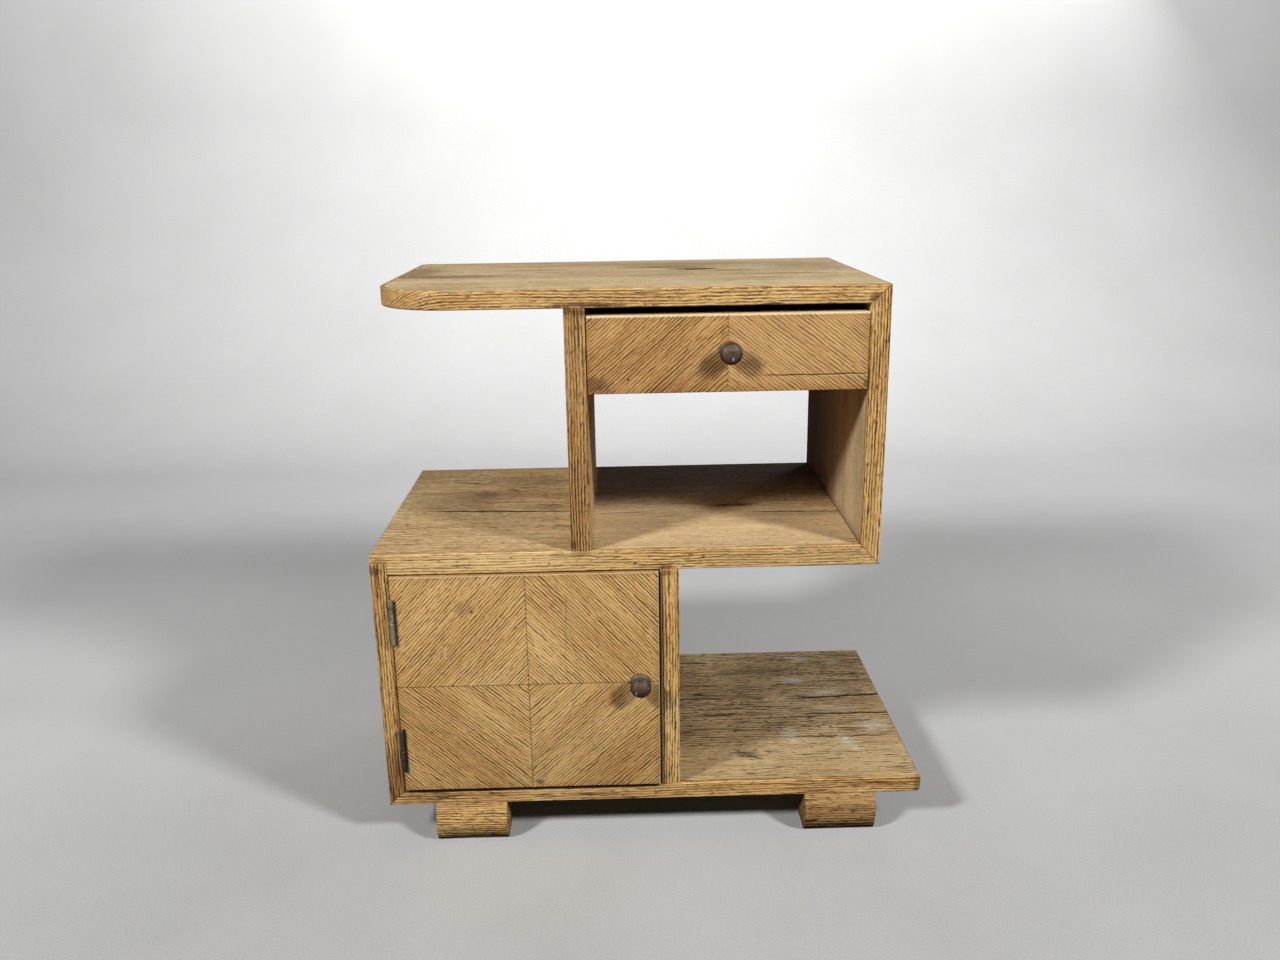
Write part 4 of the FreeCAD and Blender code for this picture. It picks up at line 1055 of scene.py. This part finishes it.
def shape_foot(node):
    """A block whose front swells forward, with worn corners and two counterbores underneath."""
    low, high = box(node)
    nose, slices = 9 * MM, 14
    front_y = low.y + nose
    foot = start_block("worn_" + node, Vector((low.x, front_y, low.z)), high)
    middle_z, half = (low.z + high.z) / 2, (high.z - low.z) / 2
    bulge = (nose * nose + half * half) / (2 * nose)
    heights = [low.z + (high.z - low.z) * step / slices for step in range(1, slices)]
    with Shaping(foot) as work:
        for height in heights:
            work.slice((0, 0, height), UP)
        work.divide(12, along(0))
        for height in heights:
            reach = math.sqrt(bulge * bulge - (height - middle_z) ** 2) - (bulge - nose)
            work.points(lambda co: level(height, co.z) and abs(co.y - low.y - nose) < TOUCH)
            bpy.ops.transform.translate(value=(0, -reach, 0))
        work.bevel(1.6 * MM, 3, lambda a, b: any(level(x, a.x, b.x) for x in (low.x, high.x))
                   and max(a.y, b.y) < front_y + TOUCH)
        work.bevel(EASED, 2, lambda a, b: max(a.z, b.z) < low.z + TOUCH and max(a.y, b.y) < front_y + TOUCH
                   and along(0, 0.9)(a, b))
    wear(foot, lambda co: co.y < front_y - TOUCH and low.z + TOUCH < co.z < high.z - TOUCH, 0.7 * MM, 12 * MM)
    radius, from_side, from_back = 5 * MM, 20 * MM, 18 * MM
    y, head_z = high.y - from_back, box("foot_screws")[0].z
    for x in (low.x + from_side, high.x - from_side):
        carve(foot, start_bar("counterbore", radius, (x, y, low.z - 2 * MM), (x, y, head_z), 32))
    return foot


def make_feet():
    for number, (node, tones) in enumerate((("left_front_foot", "band"), ("right_front_foot", "blocks"),
                                            ("left_rear_foot", "band"), ("right_rear_foot", "blocks"))):
        finish = foot_finish(node + "_oak", 20.0 + number * 3, tones)
        dress(shape_foot(node), finish, [node])


# Door and drawer


def notch(leaf, low, high):
    """Cuts room for the hinges' barrels into a leaf that fills a box."""
    radius, spare = 3.65 * MM, 0.4 * MM
    for hinge in HINGES:
        start_z, end_z = box(hinge + "_frame_leaf")[0].z, box(hinge + "_door_leaf")[1].z
        if start_z < high.z and end_z > low.z:
            axis = hinge_axis(hinge)
            carve(leaf, start_bar("notch", radius, (*axis, start_z - spare), (*axis, end_z + spare)))


def make_leaf(node, finish, arrises, body, depth=0.35 * MM, hinged=False):
    """A leaf of veneer. A hinged one leaves room for the hinges' barrels."""
    leaf = shape_board(node, arrises, (), 7 * MM, depth)
    if hinged:
        notch(leaf, *box(node))
    dress(leaf, finish, [node], body)


def make_door():
    edge, chipped = 0.8 * MM, 1.3 * MM
    for place, turn, seed, arrises in (
            ("upper_left", 47.0, 31.0, {"front top": edge, "front left": edge}),
            ("upper_right", -47.0, 32.0, {"front top": edge, "front right": edge}),
            ("lower_left", -42.0, 33.0, {"front bottom": chipped, "front left": edge}),
            ("lower_right", 42.0, 34.0, {"front bottom": chipped, "front right": edge})):
        node = "door_veneer_" + place
        make_leaf(node, door_leaf_finish(node, turn, seed), arrises, "door",
                  0.7 * MM if "lower" in node else 0.35 * MM, "left" in node)


def make_drawer():
    for place, turn, seed in (("left", 42.0, 41.0), ("right", -38.0, 42.0)):
        node = "drawer_veneer_" + place
        make_leaf(node, drawer_leaf_finish(node, turn, seed),
                  {"front top": 0.95 * MM, "front " + place: 0.7 * MM, "front bottom": 0.6 * MM}, "drawer")


# Knobs

KNOB_RADIUS = 11.0

# A knob's outline in mm: its radius at each distance from the wood behind it
KNOB_OUTLINE = (
    (11.0, 2.3), (10.7, 3.0), (9.6, 3.6), (8.6, 4.6), (8.0, 6.0), (7.9, 7.2), (8.4, 8.6), (9.4, 9.7),
    (10.5, 10.4), (11.0, 10.9), (11.2, 11.8), (11.2, 14.4), (11.05, 15.6), (10.75, 16.4), (10.3, 17.0),
    (9.9, 17.15), (9.5, 17.4), (8.9, 18.0), (7.6, 18.75), (6.0, 19.3), (4.2, 19.7), (2.6, 19.9),
    (1.2, 19.98))


def shape_knob(node):
    """A disc, a cove, a beaded rim and a low dome, drawn out ring by ring as on a lathe."""
    low, high = box(node)
    centre = Vector(((low.x + high.x) / 2, high.y, (low.z + high.z) / 2))
    knob = settle(start("turned_" + node, bpy.ops.mesh.primitive_circle_add, vertices=64,
                        radius=KNOB_RADIUS * MM, location=centre, rotation=(QUARTER, 0, 0)))
    reach, radius = 0.0, KNOB_RADIUS
    with Shaping(knob) as work:
        work.everything()
        for new_radius, new_reach in KNOB_OUTLINE:
            work.extrude(0, -(new_reach - reach) * MM, 0)
            share = new_radius / radius
            bpy.ops.transform.resize(value=(share, 1, share),
                                     center_override=(centre.x, centre.y - new_reach * MM, centre.z))
            reach, radius = new_reach, new_radius
        bpy.ops.mesh.edge_face_add()
        work.edges(lambda a, b: level(centre.y, a.y, b.y))
        bpy.ops.mesh.edge_face_add()
        work.mend()
    finer = knob.modifiers.new("round", "SUBSURF")
    finer.levels = finer.render_levels = 1
    apply_all(knob)
    rim_back, rim_front = centre.y - 10.4 * MM, centre.y - 17.4 * MM
    wear(knob, lambda co: rim_front < co.y < rim_back, 0.25 * MM, 5 * MM)
    return knob


def make_knobs():
    for node, body, scratch, glow in (("drawer_knob", "drawer", (1.5, -4.5), 1.3),
                                      ("door_knob", "door", (-5, -4), 1.04)):
        low, high = box(node)
        centre = ((low.x + high.x) / 2 / MM, (low.z + high.z) / 2 / MM)
        place = (centre[0] + scratch[0], centre[1] + scratch[1])
        finish = knob_finish(node + "_wood", node, centre, place, glow)
        dress(shape_knob(node), finish, [node], body)


# Hinges

BORE = 1.45 * MM
SCREW_INSET = 8 * MM


def sink(piece, x, y, z, radius, inward):
    """A screw's cone-shaped hole, which narrows inwards along X."""
    depth = 1.5 * MM
    carve(piece, settle(start("sink", bpy.ops.mesh.primitive_cone_add, vertices=32, radius1=radius,
                              radius2=radius * 0.55, depth=depth, location=(x + inward * depth / 2, y, z),
                              rotation=(0, QUARTER * inward, 0))))


def ease_ends(bar):
    """Rounds the ends of an upright bar."""
    with Shaping(bar) as work:
        work.bevel(0.5 * MM, 3, lambda a, b: abs(a.z - b.z) < TOUCH)
    return bar


def shape_hinge_half(node, face_x, back_x, start_y, strip_y, axis, knuckle, screws):
    """A plate, the strip that runs forward from it, and a knuckle bored for the pin.

    face_x is the plate's screwed face and back_x its other face, start_y is the plate's front edge, and
    strip_y is where the strip ends in it.
    """
    low, high = box(node)
    near_x, far_x = sorted((face_x, back_x))
    half = start_block("pressed_" + node, (near_x, start_y, low.z), (far_x, high.y, high.z))
    with Shaping(half) as work:
        work.bevel(0.2 * MM, 2, lambda a, b: True)
    carve(half, start_block("strip", (near_x, axis[1], knuckle[0]), (far_x, strip_y, knuckle[1])), "UNION")
    barrel = start_bar("barrel", high.x - axis[0], (*axis, knuckle[0]), (*axis, knuckle[1]), 64)
    carve(half, ease_ends(barrel), "UNION")
    carve(half, start_bar("bore", BORE, (*axis, knuckle[0] - MM), (*axis, knuckle[1] + MM)))
    screws_low, screws_high = box(screws)
    for z in (low.z + SCREW_INSET, (low.z + high.z) / 2, high.z - SCREW_INSET):
        sink(half, face_x, (screws_low.y + screws_high.y) / 2, z, (screws_high.y - screws_low.y) / 2,
             1 if back_x > face_x else -1)
    return half


def make_hinges():
    door_x = box("door_panel")[0].x
    shaded_side_x = box("upper_hinge_pin")[1].x
    for hinge, colour, rust in (("upper_hinge", linear(184, 176, 150), 0.3),
                                ("lower_hinge", linear(100, 90, 78), 0.5)):
        finish = metal(hinge + "_steel", colour, 0.45, rust, 0.4, shaded_side_x)
        frame_node, door_node, pin_node = (hinge + part for part in ("_frame_leaf", "_door_leaf", "_pin"))
        pin_low, pin_high = box(pin_node)
        x, y = axis = hinge_axis(hinge)
        low, high = box(frame_node)
        middle, play, thick = (low.z + high.z) / 2, 0.2 * MM, LEFT_IN_X - low.x
        half = shape_hinge_half(frame_node, LEFT_IN_X, low.x, FRONT_Y, FRONT_Y + MM, axis,
                                (low.z, middle - play), "hinge_frame_screws")
        dress(half, finish, [frame_node])
        high = box(door_node)[1]
        leaf_y = y + (high.x - x) + 0.4 * MM
        half = shape_hinge_half(door_node, door_x, door_x + thick, leaf_y, leaf_y + MM, axis,
                                (middle + play, high.z), "hinge_door_screws")
        dress(half, finish, [door_node], "door")
        pin = start_bar("riveted_" + pin_node, x - pin_low.x, (*axis, pin_low.z), (*axis, pin_high.z))
        dress(ease_ends(pin), finish, [pin_node])


make_spring()
make_top()
make_boards()
make_upright_bands()
make_bottom_band()
make_middle_band()
make_feet()
make_door()
make_drawer()
make_knobs()
make_hinges()


# Finishes of the solids that stay as they are


def door_back_finish():
    """The door's bare inner face: aged softwood, with handling marks near the knob and dusty rims."""
    wood = Wood("door_back", TONES["deal"], turn=90.0, seed=54.0, pitch=4.6, lines=0.5, pores=0.25, run=12.0,
                wander=9.0, mottle=1.0)
    wood.shade(wood.blot(wood.x, wood.z, (-20, 190), (46, 70)), (0.72, 0.64, 0.56), 0.6)
    rim = wood.within(wood.inset(*box("door_panel")), 0.5, 14, 10)
    return wood.shade(rim, (0.62, 0.54, 0.48), 0.7).done()


def bare_finish(name, tones, **grain):
    return Wood(name, TONES[tones], **grain).done()


DEAL_FINISH = bare_finish("deal", "deal", seed=50.0, pitch=3.6, lines=0.4, pores=0.15, run=10.0, wander=8.0,
                          mottle=0.9)
KEPT = (
    (bare_finish("long_deal", "deal", seed=53.0, pitch=4.2, lines=0.45, pores=0.2, run=10.0, wander=8.0,
                 mottle=0.9, swing=90.0),
     ("drawer_left_side", "drawer_right_side", "left_drawer_runner", "right_drawer_runner")),
    (bare_finish("drawer_ply", "raw", seed=55.0, pitch=5.0, lines=0.35, pores=0.25, run=14.0, wander=12.0,
                 mottle=0.9), ("drawer_bottom",)),
    (bare_finish("raw_front", "raw", seed=51.0, pitch=3.0, lines=0.25, pores=0.15, mottle=0.7),
     ("drawer_front",)),
    (door_back_finish(), ("door_panel",)),
    (bare_finish("ply", "deal", turn=90.0, seed=52.0, pitch=4.0, lines=0.25, pores=0.2, mottle=0.9),
     ("cupboard_back",)),
    (metal("dull_steel", (0.20, 0.20, 0.18), 0.5),
     ("catch_ball", "hinge_frame_screws", "hinge_door_screws", "foot_screws", "runner_screws",
      "strike_screws", "back_pins", "drawer_pins", "door_knob_screw", "drawer_knob_screw")),
    (metal("dull_brass", (0.52, 0.36, 0.14), 0.4, 0.2), ("catch_barrel", "catch_strike")),
)
chosen = {node: finish for finish, nodes in KEPT for node in nodes}
for node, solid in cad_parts.items():
    solid.data.materials.clear()
    solid.data.materials.append(chosen.get(node, DEAL_FINISH))


# Floor, light and camera


def sweep():
    """A pale floor that curves up into a backdrop."""
    floor = start("floor", bpy.ops.mesh.primitive_plane_add, size=1, location=(0, -1.6, 0))
    floor.scale = (9.0, 6.0, 1.0)
    settle(floor)
    back_y, curve, steps, height = 1.4, 0.9, 16, 3.0
    with Shaping(floor) as work:
        work.edges(lambda a, b: a.y > back_y - TOUCH and b.y > back_y - TOUCH)
        for step in range(steps):
            low, high = (QUARTER * share / steps for share in (step, step + 1))
            back, up = math.sin(high) - math.sin(low), math.cos(low) - math.cos(high)
            work.extrude(0, curve * back, curve * up)
        work.extrude(0, 0, height)
    activate(floor)
    bpy.ops.object.shade_smooth()
    finish = Finish("pale_floor")
    cloud, speck = finish.noise(3.0, 5.0), finish.noise(420.0, 2.0)
    tone = cloud * 0.5 + speck * 0.5
    ground = finish.ramp(tone, [(0.35, (0.46, 0.46, 0.455)), (0.65, (0.55, 0.55, 0.545))])
    wall = finish.ramp(tone, [(0.35, (0.76, 0.76, 0.755)), (0.65, (0.84, 0.84, 0.835))])
    shade = finish.mix(finish.rise(finish.y, -0.4, 0.6), ground, wall)
    floor.data.materials.append(finish.close(shade, 0.8 + cloud * 0.1, speck, 0.2, 0.3 * MM))
    floor.visible_diffuse = False
    floor.visible_glossy = False


def softbox(name, place, aim, size, power):
    light = bpy.data.lights.new(name, "AREA")
    light.shape = "DISK"
    light.size = size
    light.energy = power
    lamp = bpy.data.objects.new(name, light)
    bpy.context.scene.collection.objects.link(lamp)
    lamp.location = place
    lamp.rotation_euler = (Vector(aim) - Vector(place)).to_track_quat("-Z", "Y").to_euler()


def set_camera():
    """The photograph's view, found from the cabinet's own edges."""
    pitch, turn, roll = (math.radians(angle) for angle in (16.04, 1.136, -0.888))
    ahead_level = Vector((math.sin(turn), math.cos(turn), 0))
    right_level = Vector((math.cos(turn), -math.sin(turn), 0))
    ahead = ahead_level * math.cos(pitch) - UP * math.sin(pitch)
    over = ahead_level * math.sin(pitch) + UP * math.cos(pitch)
    right = right_level * math.cos(roll) + over * math.sin(roll)
    top = over * math.cos(roll) - right_level * math.sin(roll)
    camera = bpy.data.objects.new("camera", bpy.data.cameras.new("camera"))
    bpy.context.scene.collection.objects.link(camera)
    focal_length, photo_width = 1077.6, 1280
    camera.data.sensor_width = 36.0
    camera.data.lens = focal_length * camera.data.sensor_width / photo_width
    place = Vector((-33.52, -1051.19 + FRONT_Y / MM, 714.94)) * MM
    camera.matrix_world = Matrix.Translation(place) @ Matrix((right, top, -ahead)).transposed().to_4x4()
    bpy.context.scene.camera = camera


sweep()
softbox("left_light", (-1.85, -1.6, 1.95), (0, 0, 0.35), 0.45, 60.0)
softbox("right_light", (1.85, -1.6, 1.95), (0, 0, 0.35), 0.45, 56.0)
softbox("rear_light", (1.7, 1.9, 1.7), (0, 0, 0.3), 1.0, 9.0)
softbox("wall_light", (0, 0.9, 2.0), (0, 2.3, 1.9), 1.6, 40.0)
world = bpy.data.worlds.new("studio")
world.use_nodes = True
world.node_tree.nodes["Background"].inputs["Color"].default_value = (0.9, 0.91, 0.93, 1.0)
world.node_tree.nodes["Background"].inputs["Strength"].default_value = 0.045
bpy.context.scene.world = world
bpy.context.scene.view_settings.view_transform = "Standard"
set_camera()
